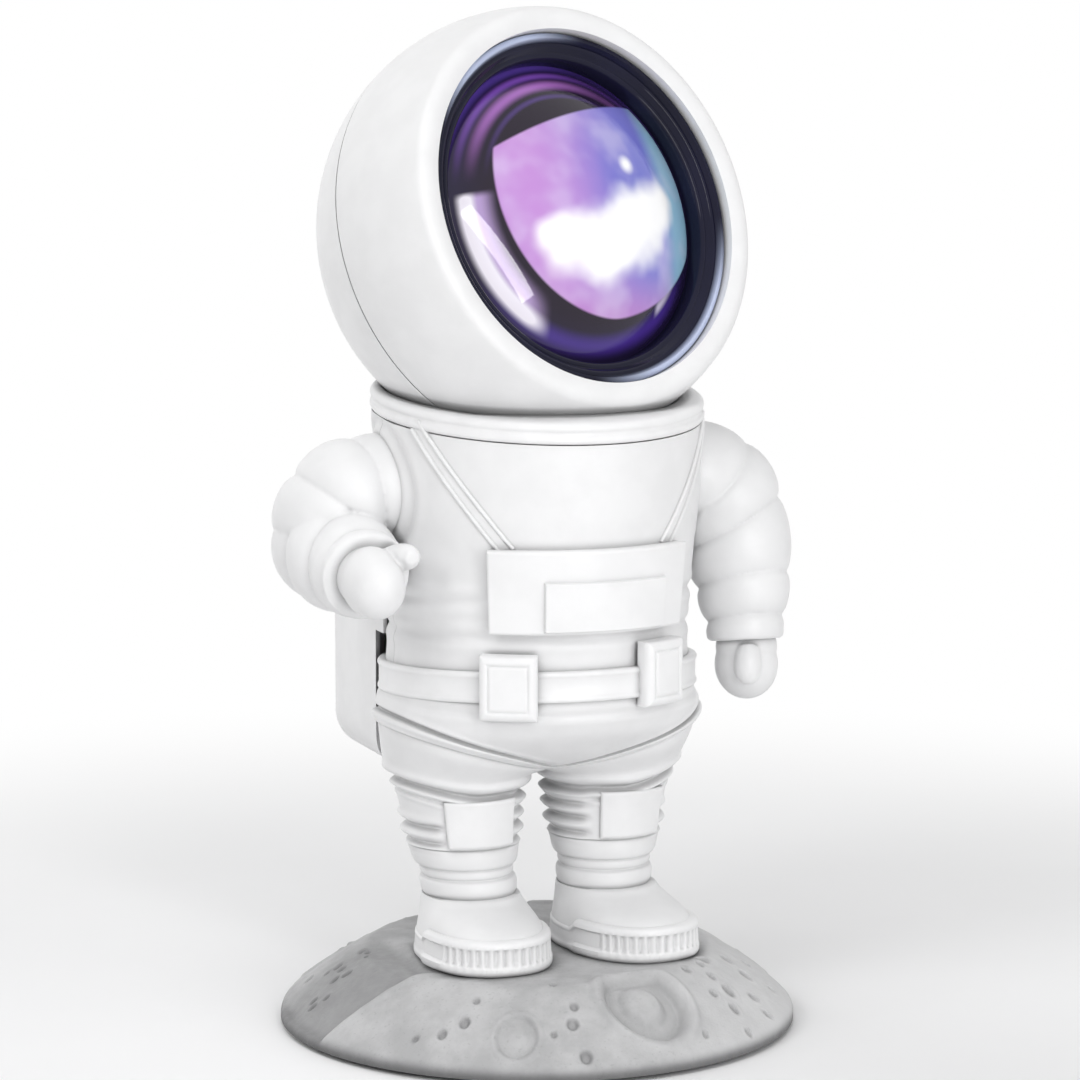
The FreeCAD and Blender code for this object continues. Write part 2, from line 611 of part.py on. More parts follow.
def legs():
    for side, sign in SIDES:
        form = leg_form(side, sign, "leg_form", "0")
        bore = rod(side + "_leg_bore", "leg_bore", "leg_length + hip_height", x=sign + "leg_x",
                   z="ankle + bolt_head_radius")
        foot = rod(side + "_leg_bolt_hole", "bolt_radius", "leg_length / 2", x=sign + "leg_x", z="ankle")
        node(side + "_leg", cut(side + "_leg_cut", form, hip_slope("leg_top", side), bore, foot))
        swollen = leg_form(side, sign, "knee_form", "pad_swell")
        front = box(side + "_knee_box", "knee_pad_width", "thigh_radius * 2", "knee_pad_height",
                    x=f"{sign}leg_x", y="-thigh_radius", z="ankle + leg_length * 0.42")
        node(side + "_knee_pad", cut(side + "_knee_cut", common(side + "_knee_front", swollen, front),
                                     leg_form(side, sign, "knee_core", "0")))


# Hips, torso and what is fixed on them
def hip_form(name, inset):
    stages = [
        ("hip_radius * 0.83", "hip_radius * 0.7", "crotch - hip_height * 0.1"),
        ("hip_radius * 0.96", "hip_radius * 0.88", "crotch + hip_height * 0.2"),
        ("hip_radius", "hip_radius * 0.97", "crotch + hip_height * 0.55"),
        ("waist_radius + slip_fit", "waist_radius", "waist"),
    ]
    rings = []
    for index, (wide, deep, z) in enumerate(stages):
        rings.append(oval(f"{name}_{index}", f"{wide} - {inset}", f"{deep} - {inset}", z=z))
    return loft(name, *rings)


def hips():
    hollow = cut("hip_hollow", hip_form("hip_core", "body_wall"),
                 box("hip_floor", "4 * hip_radius", "4 * hip_radius", "hip_height * 0.4",
                     z="crotch - hip_height * 0.2"))
    edges = common("hip_slopes", hip_slope("hip_low", "right"), hip_slope("hip_low", "left"))
    node("hip_shell", common("hip_open", cut("hip_walls", hip_form("hip_form", "0"), hollow), edges))


def torso_outline(inset, low="waist", high="collar + 2 * collar_height"):
    """Half of the torso's section, up past the collar's slanted seat."""
    chest = f"chest_radius - {inset}"
    return [("0", low), (f"waist_radius - {inset}", low),
            (f"middle_radius - {inset}", "waist + middle_height"), (chest, "collar"), (chest, high),
            ("0", high)]


def torso():
    form = turned("torso_form", torso_outline("0"))
    core = turned("torso_core", torso_outline("body_wall"))
    above = box("above_collar", "4 * chest_radius", "4 * chest_radius", "chest_radius", z="collar",
                turn=about("1; 0; 0", "collar_tilt"))
    holes = [rod(side + "_bush_hole", "bush_radius + slip_fit", "bush_outer", x=f"{sign}(bush_inner)",
                 y="shoulder_back", z="shoulder", turn=about("0; 1; 0", f"{sign}90"))
             for side, sign in SIDES]
    walls = cut("torso_walls", form, core, above, *holes)
    screws = [rod(f"rear_hole_{side}", "screw_radius + slip_fit", "pack_rear", x=f"{sign}rib_screw_reach",
                  z="rib_z + rib_thickness / 2", turn=ALONG_Y) for side, sign in SIDES]
    screws.append(rod("rear_cable_hole", "cable_bore", "pack_rear", z="cable_level", turn=ALONG_Y))
    for half, way in (("front", "-"), ("rear", "")):
        side = box(half + "_half", "4 * chest_radius", "2 * chest_radius", "2 * torso_height",
                   y=way + "chest_radius", z="waist - collar_height")
        shell = common(f"torso_{half}_walls", walls, side)
        node(f"torso_{half}_shell", cut("torso_rear_cut", shell, *screws) if half == "rear" else shell)
    slab = box("deck_slab", "2 * deck_half_width", "4 * chest_radius", "deck_thickness", z="deck_low")
    bore = rod("deck_bore", "spigot_radius + slip_fit", "deck_thickness", z="deck_low")
    node("neck_deck", cut("deck_cut", common("deck_plate", core, slab), bore))
    return form


def on_torso(name, form, outer, angle, spread, low, high, *others):
    """A block that stands on the torso's front, from one height to another, angle measured from the front."""
    block = bind(new("Part::Cylinder", name + "_block"), Radius=outer, Height=f"{high} - ({low})",
                 Angle=spread)
    put(block, z=low, turn=about("0; 0; 1", f"270 + {angle} - ({spread}) / 2"))
    return cut(name + "_block_cut", block, form, *others)


def harness(form):
    pack = on_torso("chest_pack", form, "pack_radius", "0", "2 * pack_half_angle",
                    "waist + pack_bottom", "waist + pack_bottom + pack_height")
    inside = rod("pack_face", "pack_radius", "torso_height", z="waist")
    panel = on_torso("chest_panel", inside, "pack_radius + panel_thickness",
                     "pack_half_angle - panel_angle / 2 - 2",
                     "panel_angle", "waist + pack_bottom + panel_thickness",
                     "waist + pack_bottom + panel_thickness + panel_height")
    node("chest_pack", fuse("chest_pack_solid", pack, panel))
    tilt = about("1; 0; 0", "-belt_tilt")
    belt = cut("belt_cut", rod("belt_outer", "belt_radius", "belt_height", z="waist - belt_height / 2",
                               turn=tilt),
               rod("belt_hole", "belt_inner", "belt_height", z="waist - belt_height / 2", turn=tilt),
               hip_form("belt_hips", "0"), form)
    node("belt", belt)
    straps = []
    skin = cut("strap_skin", turned("strap_outer", torso_outline("-strap_thickness")), form)
    for side, sign in SIDES:
        way = "" if side == "left" else "-"
        pouch_inside = rod(f"{side}_pouch_inside", "belt_radius + shell_gap", "hip_height + torso_height",
                           z="crotch")
        node(f"{side}_belt_pouch", on_torso(
            f"{side}_belt_pouch", pouch_inside, "pouch_radius", f"{way}pouch_angle",
            "2 * asin(pouch_width / 2 / pouch_radius) / (1 deg)", "waist - pouch_height * 0.42",
            "waist + pouch_height * 0.58"))
        lean = "atan((strap_top_reach - strap_low_reach) / (collar - waist - pack_bottom - pack_height))"
        band = box(f"{side}_strap_band", "strap_width", "2 * chest_radius", "torso_height",
                   x=f"{sign}strap_low_reach", y="-chest_radius", z="waist + pack_bottom + pack_height",
                   turn=about("0; 1; 0", f"{way}({lean})"))
        below = box(f"{side}_strap_below", "4 * chest_radius", "4 * chest_radius", "torso_height",
                    z="waist + pack_bottom + pack_height - torso_height")
        above = box(f"{side}_strap_above", "4 * chest_radius", "4 * chest_radius", "chest_radius",
                    z="collar", turn=about("1; 0; 0", "collar_tilt"))
        straps.append(cut(f"{side}_strap_cut", common(f"{side}_strap", skin, band), below, above))
    node("harness_straps", fuse("strap_pair", *straps))


def collar_ring():
    ring = turned("collar_band", [
        ("collar_floor", "0"), ("collar_radius", "0"),
        ("collar_radius", "collar_height * 0.4"), ("collar_radius - collar_groove", "collar_height * 0.5"),
        ("collar_radius", "collar_height * 0.6"),
        ("collar_radius", "collar_height * 0.85", "collar_groove", 1),
        ("collar_radius - collar_groove", "collar_height"), ("collar_floor", "collar_height"),
    ], z="collar", turn=about("1; 0; 0", "collar_tilt"))
    node("collar_ring", cut("collar_cut", ring, ball("collar_seat", "seat_radius", z="helmet_z")))


# Neck
def neck():
    dish_edge = "helmet_z - sqrt(seat_radius ^ 2 - cup_radius ^ 2)"
    dish_bore = "helmet_z - sqrt(seat_radius ^ 2 - cable_bore ^ 2)"
    clip_top = "deck_low - slip_fit"
    clip_low = "deck_low - slip_fit - clip_thickness"
    groove = "spigot_radius - clip_depth"
    node("swivel_cup", turned("swivel_cup_body", [
        ("cable_bore", "cup_foot - spigot_length"), ("spigot_radius", "cup_foot - spigot_length"),
        ("spigot_radius", clip_low), (groove, clip_low), (groove, clip_top), ("spigot_radius", clip_top),
        ("spigot_radius", "cup_foot"), ("magnet_inner - slip_fit", "cup_foot"),
        ("magnet_inner - slip_fit", "cup_foot + magnet_height"),
        ("magnet_outer + slip_fit", "cup_foot + magnet_height"), ("magnet_outer + slip_fit", "cup_foot"),
        ("cup_radius", "cup_foot"), ("cup_radius", dish_edge, "seat_radius", -1), ("cable_bore", dish_bore),
    ]))
    node("neck_magnet", turned("neck_magnet_ring", [
        ("magnet_inner", "cup_foot + slip_fit"), ("magnet_outer", "cup_foot + slip_fit"),
        ("magnet_outer", "cup_foot + magnet_height"), ("magnet_inner", "cup_foot + magnet_height"),
    ]))
    node("swivel_clip", turned("swivel_clip_ring", [
        (groove, clip_low), ("clip_radius", clip_low), ("clip_radius", clip_top), (groove, clip_top),
    ], sweep=300))
    neck_cable()


def neck_cable():
    """The lead from the main board up through the neck to the light board's heat sink."""
    nod = FreeCAD.Rotation(size("head_pan"), 0, 90 - size("head_pitch"))
    under_sink = Vector(0, size("pillar_rise / 2 - sink_height / 2"),
                        size("sink_front - sink_plate - cable_radius"))
    end = Vector(0, 0, size("helmet_z")) + nod.multVec(under_sink)
    below = end - nod.multVec(Vector(0, size("cable_rise / 2"), 0))
    route = [Vector(0, size("board_front"), size("cable_level")), Vector(0, 0, size("cable_level")),
             Vector(0, 0, size("cup_foot + cable_rise")), below, end]
    edges = []
    start = route[0]
    for before, corner, after in zip(route, route[1:], route[2:]):
        into = (corner - before).normalize()
        out = (after - corner).normalize()
        half_turn = into.getAngle(out) / 2
        trim = 0.45 * min((corner - before).Length, (after - corner).Length)
        radius = trim / math.tan(half_turn)
        first = corner - into * trim
        last = corner + out * trim
        inward = (out - into).normalize()
        centre = corner + inward * (radius / math.cos(half_turn))
        edges.append(Part.LineSegment(start, first).toShape())
        edges.append(Part.Arc(first, centre - inward * radius, last).toShape())
        start = last
    edges.append(Part.LineSegment(start, route[-1]).toShape())
    section = Part.Wire(Part.Circle(route[0], Vector(0, 1, 0), size("cable_radius")).toShape())
    lead = new("Part::Feature", "neck_lead")
    lead.Shape = Part.Wire(edges).makePipeShell([section], True, False)
    node("neck_cable", lead)


# Helmet shells
def cable_slot(name, radius="slot_radius"):
    """The slot under the helmet that lets the lead pass while the head tilts."""
    slot = bind(new("Part::Torus", name), Radius1="helmet_radius - helmet_wall / 2", Radius2=radius,
                Angle3="tilt_down + tilt_up + 2 * slot_margin")
    turn = " * ".join([about("0; 0; 1", "head_pan"), about("0; 1; 0", "90"),
                       about("0; 0; 1", "-tilt_down - slot_margin")])
    return put(slot, z="helmet_z", turn=turn)


def helmet():
    seam_outer = "sqrt(helmet_radius ^ 2 - seam_back ^ 2)"
    seam_inner = "sqrt(inner_ball ^ 2 - seam_back ^ 2)"
    lap_front = "seam_lap - seam_back"
    seat_back = "lens_seat - seat_thickness"
    lip_outer = "sqrt(helmet_radius ^ 2 - visor_front ^ 2)"
    front = turned("helmet_front_body", [
        ("lip_ring + slip_fit", "-seam_back"), (seam_outer, "-seam_back", "helmet_radius", 1),
        (lip_outer, "visor_front", "lip_curve", 1), ("visor_radius", "visor_front"),
        ("visor_radius", "lens_seat"), ("visor_radius - seat_width", "lens_seat"),
        ("visor_radius - seat_width", seat_back),
        (f"sqrt(inner_ball ^ 2 - ({seat_back}) ^ 2)", seat_back, "inner_ball", -1),
        (f"sqrt(inner_ball ^ 2 - ({lap_front}) ^ 2)", lap_front), ("lip_ring + slip_fit", lap_front),
    ], frame=HEAD)
    posts = ring_of("chassis_post", 3, "post_reach", lambda name, x, y: rod(
        name, "boss_radius", f"{seat_back} - chassis_front", x=x, y=y, z="chassis_front", frame=HEAD))
    holes = ring_of("chassis_post_hole", 3, "post_reach", lambda name, x, y: rod(
        name, "screw_radius", f"({seat_back} - chassis_front) * 0.7", x=x, y=y, z="chassis_front",
        frame=HEAD))
    node("helmet_front_shell", cut("helmet_front_cut", fuse("helmet_front_solid", front, *posts), *holes,
                                   cable_slot("front_slot")))
    rear = turned("helmet_rear_body", [
        (seam_outer, "-seam_back"), ("lip_ring", "-seam_back"), ("lip_ring", f"{lap_front} - slip_fit"),
        (f"sqrt(inner_ball ^ 2 - ({lap_front}) ^ 2)", f"{lap_front} - slip_fit"),
        (seam_inner, "-seam_back", "inner_ball", -1),
        ("0", "-inner_ball"), ("0", "-helmet_radius", "helmet_radius", 1),
    ], frame=HEAD)
    node("helmet_rear_shell", cut("helmet_rear_cut", rear, cable_slot("rear_slot")))
    plate = cut("keeper_plate", ball("keeper_outside", "inner_ball - slip_fit", z="helmet_z"),
                ball("keeper_inside", "inner_ball - slip_fit - keeper_thickness", z="helmet_z"))
    disc = rod("keeper_disc", "keeper_radius", "helmet_radius", z="helmet_z - helmet_radius")
    slot = cable_slot("keeper_slot", "slot_radius + keeper_thickness")
    node("magnet_keeper", cut("keeper_cut", common("keeper_cap", plate, disc), slot))


def visor():
    bezel_outer = "visor_radius - bezel_fit"
    node("visor_bezel", turned("visor_bezel_body", [
        ("lens_outer + bezel_fit", "lens_seat"), (bezel_outer, "lens_seat"),
        (bezel_outer, "lens_seat + bezel_height", "bezel_curve", 1),
        ("lens_radius + bezel_fit", "lens_rim + bezel_fit + lens_edge * 0.6"),
        ("lens_radius + bezel_fit", "lens_rim + bezel_fit"),
        ("lens_outer + bezel_fit", "lens_rim + bezel_fit"),
    ], frame=HEAD))
    inner_curve = "lens_curve - lens_wall"
    inner_apex = "lens_rim + lens_sag - lens_wall"
    inner_edge = f"sqrt(({inner_curve}) ^ 2 - ({inner_curve} - ({inner_apex}) + lens_seat) ^ 2)"
    node("visor_lens", turned("visor_lens_body", [
        (inner_edge, "lens_seat"), ("lens_outer", "lens_seat"), ("lens_outer", "lens_rim"),
        ("lens_radius", "lens_rim", "lens_curve", 1), ("0", "lens_rim + lens_sag"),
        ("0", inner_apex, inner_curve, -1),
    ], frame=HEAD))


# Projector inside the head
def optics():
    plate = rod("chassis_plate", "chassis_radius", "chassis_thickness", z="chassis_rear", frame=HEAD)
    pillars = [rod(f"{side}_pillar", "pillar_radius", "pillar_length", x=f"{sign}pillar_reach",
                   y="pillar_rise", z="sink_front", frame=HEAD) for side, sign in SIDES]
    beam = rod("chassis_beam", "beam_radius", "chassis_thickness", z="chassis_rear", frame=HEAD)
    shaft = rod("chassis_shaft_hole", "disc_shaft_radius + slip_fit", "chassis_thickness", y="-disc_drop",
                z="chassis_rear", frame=HEAD)
    laser = rod("chassis_laser_hole", "laser_radius + slip_fit", "chassis_thickness", x="laser_side",
                y="laser_rise", z="chassis_rear", frame=HEAD)
    holes = ring_of("chassis_screw_hole", 3, "post_reach", lambda name, x, y: rod(
        name, "screw_radius + slip_fit", "chassis_thickness", x=x, y=y, z="chassis_rear", frame=HEAD))
    inside = ball("chassis_limit", "inner_ball - seam_lip", z="helmet_z")
    node("optics_chassis", common("chassis_trim", inside, cut(
        "chassis_cut", fuse("chassis_solid", plate, *pillars), beam, shaft, laser, *holes)))
    screws = ring_of("chassis_screw", 3, "post_reach", lambda name, x, y: fuse(name + "_solid", *screw(
        name, "chassis_thickness + lens_seat / 3", x=x, y=y, z="chassis_rear", frame=HEAD)))
    node("chassis_screws", fuse("chassis_screw_set", *screws))

    barrel = rod("barrel_tube", "barrel_radius", "barrel_length", z="chassis_front", frame=HEAD)
    bore = rod("barrel_bore", "beam_radius", "barrel_length", z="chassis_front", frame=HEAD)
    seat_z = "chassis_front + barrel_length - barrel_lens_height / 2"
    seat = rod("barrel_seat", "barrel_radius - barrel_wall", "barrel_length", z=seat_z, frame=HEAD)
    node("projection_barrel", cut("barrel_cut", barrel, bore, seat))
    glass = "barrel_radius - barrel_wall - slip_fit"
    rim_z = f"{seat_z} + barrel_lens_height / 2"
    curve = "2 * barrel_radius"
    node("projection_lens", turned("projection_lens_body", [
        ("0", seat_z), (glass, seat_z), (glass, rim_z, curve, 1),
        ("0", f"{rim_z} + {curve} - sqrt(({curve}) ^ 2 - ({glass}) ^ 2)"),
    ], frame=HEAD))

    disc = rod("disc_plate", "disc_radius", "disc_thickness", y="-disc_drop",
               z="disc_front - disc_thickness", frame=HEAD)
    hub = rod("disc_hub", "disc_shaft_radius * 2", "disc_thickness * 2", y="-disc_drop",
              z="disc_front - disc_thickness * 2", frame=HEAD)
    hub_bore = rod("disc_hub_bore", "disc_shaft_radius", "disc_thickness * 2", y="-disc_drop",
                   z="disc_front - disc_thickness * 2", frame=HEAD)
    node("effect_disc", cut("effect_disc_cut", fuse("effect_disc_solid", disc, hub), hub_bore))
    shaft_foot = "disc_front - disc_thickness * 2"
    node("disc_shaft", rod("disc_shaft_rod", "disc_shaft_radius",
                           f"chassis_front + shaft_grip - ({shaft_foot})",
                           y="-disc_drop", z=shaft_foot, frame=HEAD))
    motor = rod("motor_can", "motor_radius", "motor_length", y="-disc_drop", z="chassis_front", frame=HEAD)
    motor_bore = rod("motor_bore", "disc_shaft_radius + slip_fit", "shaft_grip + slip_fit", y="-disc_drop",
                     z="chassis_front", frame=HEAD)
    node("disc_motor", cut("disc_motor_cut", motor, motor_bore))

    sink = box("sink_block", "sink_width", "sink_height", "sink_plate", y="pillar_rise / 2",
               z="sink_front - sink_plate", frame=HEAD)
    pitch = "(sink_height - fin_thickness) / (fin_count - 1)"
    fins = [box(f"sink_fin_{index}", "sink_width * 0.6", "fin_thickness", "fin_length",
                y=f"pillar_rise / 2 - sink_height / 2 + fin_thickness / 2 + {pitch} * {index}",
                z="sink_front - sink_plate - fin_length", frame=HEAD)
            for index in range(int(size("fin_count")))]
    node("heat_sink", fuse("heat_sink_solid", sink, *fins))
    board = rod("led_disc", "led_board_radius", "led_board_thickness", z="sink_front", frame=HEAD)
    dome = ball("led_dome", "emitter_radius", z="sink_front + led_board_thickness", frame=HEAD)
    behind = rod("led_behind", "led_board_radius", "led_board_radius", z="sink_front - led_board_radius",
                 frame=HEAD)
    node("light_board", cut("light_board_cut", fuse("light_board_solid", board, dome), behind))
    laser_foot = "chassis_front + laser_proud - laser_length"
    node("laser_module", rod("laser_can", "laser_radius", "laser_length", x="laser_side", y="laser_rise",
                             z=laser_foot, frame=HEAD))
    node("diffraction_grating", rod("grating_disc", "laser_radius", "grating_thickness", x="laser_side",
                                    y="laser_rise", z="chassis_front + laser_proud", frame=HEAD))


# Arms
def ring_at(name, radius, centre, along):
    """A circle at a point of an arm, square to the arm there."""
    ring = bind(new("Part::Circle", name), Radius=radius)
    spot = Vector(*[size(text) for text in centre])
    ring.Placement = FreeCAD.Placement(spot, FreeCAD.Rotation(Vector(0, 0, 1), Vector(*along)))
    return ring


def shoulder_parts(side, sign, sleeve):
    out = about("0; 1; 0", f"{sign}90")
    line = {"y": "shoulder_back", "z": "shoulder", "turn": out}
    bush = rod(side + "_bush_solid", "bush_radius", "bush_outer - bush_inner", x=f"{sign}bush_inner",
               **line)
    bore = rod(side + "_bush_bore", "pivot_radius + slip_fit", "bush_outer", x=f"{sign}bush_inner", **line)
    node(side + "_shoulder_bush", cut(side + "_bush_cut", bush, bore))
    head_start = "bush_inner - slip_fit - pivot_head_height"
    head = rod(side + "_pivot_head", "pivot_head_radius", "pivot_head_height", x=f"{sign}({head_start})",
               **line)
    shank = rod(side + "_pivot_shank", "pivot_radius", f"sleeve_face + pivot_grip - ({head_start})",
                x=f"{sign}({head_start})", **line)
    node(side + "_shoulder_bolt", fuse(side + "_pivot_solid", head, shank))
    hole = rod(side + "_sleeve_hole", "pivot_radius", "pivot_grip", x=f"{sign}sleeve_face", **line)
    inside = box(side + "_sleeve_limit", "2 * sleeve_face", "4 * chest_radius", "4 * torso_height",
                 z="waist - torso_height")
    node(side + "_sleeve", cut(side + "_sleeve_cut", sleeve, inside, hole))


def glove(side, wrist, turn):
    """A mitten in its own frame: z runs from the fingers to the wrist, -y is the thumb's side."""
    frame = f"placement(vector({'; '.join(wrist)}); {turn})"
    upright = about("0; 0; 1", "90")
    cuff = rod(side + "_cuff", "wrist_radius", "cuff_length", z="-cuff_length", frame=frame)
    slices = [("palm_width * 0.42", "palm_depth * 0.42", "-cuff_length * 0.5"),
              ("palm_width * 0.5", "palm_depth * 0.5", "-cuff_length - palm_length * 0.3"),
              ("palm_width * 0.47", "palm_depth * 0.44", "-cuff_length - palm_length * 0.65"),
              ("palm_width * 0.36", "palm_depth * 0.3", "-cuff_length - palm_length * 0.9"),
              ("palm_width * 0.22", "palm_depth * 0.18", "-cuff_length - palm_length")]
    palm = loft(side + "_palm", *[
        oval(f"{side}_palm_{index}", wide, deep, z=z, turn=upright, frame=frame)
        for index, (wide, deep, z) in enumerate(slices)])
    lean = "rotation(vector(1; 0; 0); -24)"
    root = f"{frame} * placement(vector(0; -palm_width * 0.36; -cuff_length - palm_length * 0.2); {lean})"
    thumb = rod(side + "_thumb", "thumb_radius", "thumb_length", z="-thumb_length", frame=root)
    tip = ball(side + "_thumb_tip", "thumb_radius", z="-thumb_length", frame=root)
    node(side + "_glove", fuse(side + "_glove_solid", cuff, palm, thumb, tip))


def right_arm():
    """The bent arm: an upper and a lower sleeve that meet in a round elbow."""
    def along_upper(out, back, drop):
        return (f"-sleeve_face - right_elbow_out * {out}", f"shoulder_back + right_elbow_back * {back}",
                f"shoulder - right_elbow_drop * {drop}")

    elbow = along_upper(1, 1, 1)
    wrist = ("-sleeve_face - right_wrist_out", "shoulder_back - right_wrist_ahead",
             "shoulder - right_wrist_drop")
    middle = tuple(f"(({start}) * 0.45 + ({end}) * 0.55)" for start, end in zip(elbow, wrist))
    upper = loft(
        "right_upper_sleeve",
        ring_at("right_ring_0", "shoulder_radius * 0.92", along_upper(-0.3, 0, 0), (1, 0, 0)),
        ring_at("right_ring_1", "shoulder_radius", along_upper(0.25, 0, 0.05), (0.9, 0, 0.2)),
        ring_at("right_ring_2", "upper_arm_radius", along_upper(0.7, 0.5, 0.43), (0.7, 0, 0.6)),
        ring_at("right_ring_3", "upper_arm_radius * 0.95", elbow, (0.3, 0.1, 0.8)))
    joint = ball("right_elbow", "upper_arm_radius * 0.96", x=elbow[0], y=elbow[1], z=elbow[2])
    lower = loft(
        "right_lower_sleeve",
        ring_at("right_ring_4", "upper_arm_radius * 0.92", elbow, (0, 1, 0.2)),
        ring_at("right_ring_5", "forearm_radius", middle, (0, 1, 0.2)),
        ring_at("right_ring_6", "wrist_radius", wrist, (0, 1, 0)))
    shoulder_parts("right", "-", fuse("right_sleeve_solid", upper, joint, lower))
    glove("right", wrist, ALONG_Y)


def left_arm():
    """The hanging arm: one sleeve that curves down from the shoulder."""
    def along(out, ahead, drop):
        return (f"sleeve_face + left_wrist_out * {out}", f"shoulder_back - left_wrist_ahead * {ahead}",
                f"shoulder - left_wrist_drop * {drop}")

    sleeve = loft(
        "left_sleeve_loft",
        ring_at("left_ring_0", "shoulder_radius * 0.92", along(-0.3, 0, 0), (-1, 0, 0)),
        ring_at("left_ring_1", "shoulder_radius", along(0.23, 0, 0.025), (-0.9, 0, 0.25)),
        ring_at("left_ring_2", "upper_arm_radius", along(0.7, 0.1, 0.18), (-0.6, 0, 0.7)),
        ring_at("left_ring_3", "upper_arm_radius * 0.97", along(0.92, 0.33, 0.41), (-0.2, 0.2, 1)),
        ring_at("left_ring_4", "forearm_radius", along(1, 0.67, 0.7), (0, 0.25, 1)),
        ring_at("left_ring_5", "wrist_radius", along(1, 1, 1), (0, 0, 1)))
    shoulder_parts("left", "", sleeve)
    glove("left", along(1, 1, 1), LEVEL)


# Backpack
def backpack(form):
    width = "2 * pack_half_width"
    middle = "pack_z + pack_tall / 2"
    body = rounded_plate("pack_body", width, "pack_tall", "pack_corner", "cover_front - pack_front",
                         y="cover_front", z=middle, turn=AGAINST_Y)
    room = rounded_plate("pack_room", f"{width} - 2 * pack_wall", "pack_tall - 2 * pack_wall",
                         "pack_corner - pack_wall", "cover_front - pack_front",
                         y="cover_front", z=middle, turn=AGAINST_Y)
    corners = [(f"{sign}(pack_half_width - pack_wall - boss_radius * 0.9)", level)
               for _, sign in SIDES
               for level in ("pack_z + pack_corner + boss_radius", "pack_top - pack_corner - boss_radius")]
    boss_length = "cover_front - board_front + board_thickness"
    boss_foot = f"cover_front - ({boss_length})"
    bosses = [rod(f"pack_boss_{index}", "boss_radius", boss_length, x=x, y=boss_foot, z=z, turn=ALONG_Y)
              for index, (x, z) in enumerate(corners)]
    holes = [rod(f"pack_boss_hole_{index}", "screw_radius", boss_length, x=x, y=boss_foot, z=z, turn=ALONG_Y)
             for index, (x, z) in enumerate(corners)]
    rib = box("pack_rib", f"{width} - pack_wall", "board_front - shell_gap - pack_front", "rib_thickness",
              y="(board_front - shell_gap + pack_front) / 2", z="rib_z")
    rib_holes = [rod(f"rib_hole_{side}", "screw_radius", "board_front - pack_front",
                     x=f"{sign}rib_screw_reach", y="pack_front", z="rib_z + rib_thickness / 2", turn=ALONG_Y)
                 for side, sign in SIDES]
    rib_bosses = [rod(f"rib_boss_{side}", "boss_radius",
                      "board_front - shell_gap - chest_radius + body_wall",
                      x=f"{sign}rib_screw_reach", y="chest_radius - body_wall",
                      z="rib_z + rib_thickness / 2", turn=ALONG_Y) for side, sign in SIDES]
    waistband = rod("pack_clear", "belt_radius + 2 * shell_gap", "hip_height + torso_height",
                    z="pack_z - hip_height")
    walls = cut("pack_walls", body, room)
    upper = box("pack_upper", "4 * chest_radius", "4 * chest_radius", "pack_tall", z="waist + belt_height")
    low_clear = cut("pack_low_clear", waistband, upper)
    solid = fuse("pack_solid", walls, rib, *rib_bosses, *bosses)
    node("backpack_shell", cut("pack_cut", solid, form, low_clear, *holes, *rib_holes))
    seat = "sqrt((middle_radius - body_wall) ^ 2 - (rib_screw_reach + screw_head_radius) ^ 2)"
    screws = []
    for side, sign in SIDES:
        line = {"x": f"{sign}rib_screw_reach", "z": "rib_z + rib_thickness / 2"}
        screws += screw(f"rib_screw_{side}", "rib_screw_length", y=seat, turn=ALONG_Y, **line)
    cover(corners, screws)


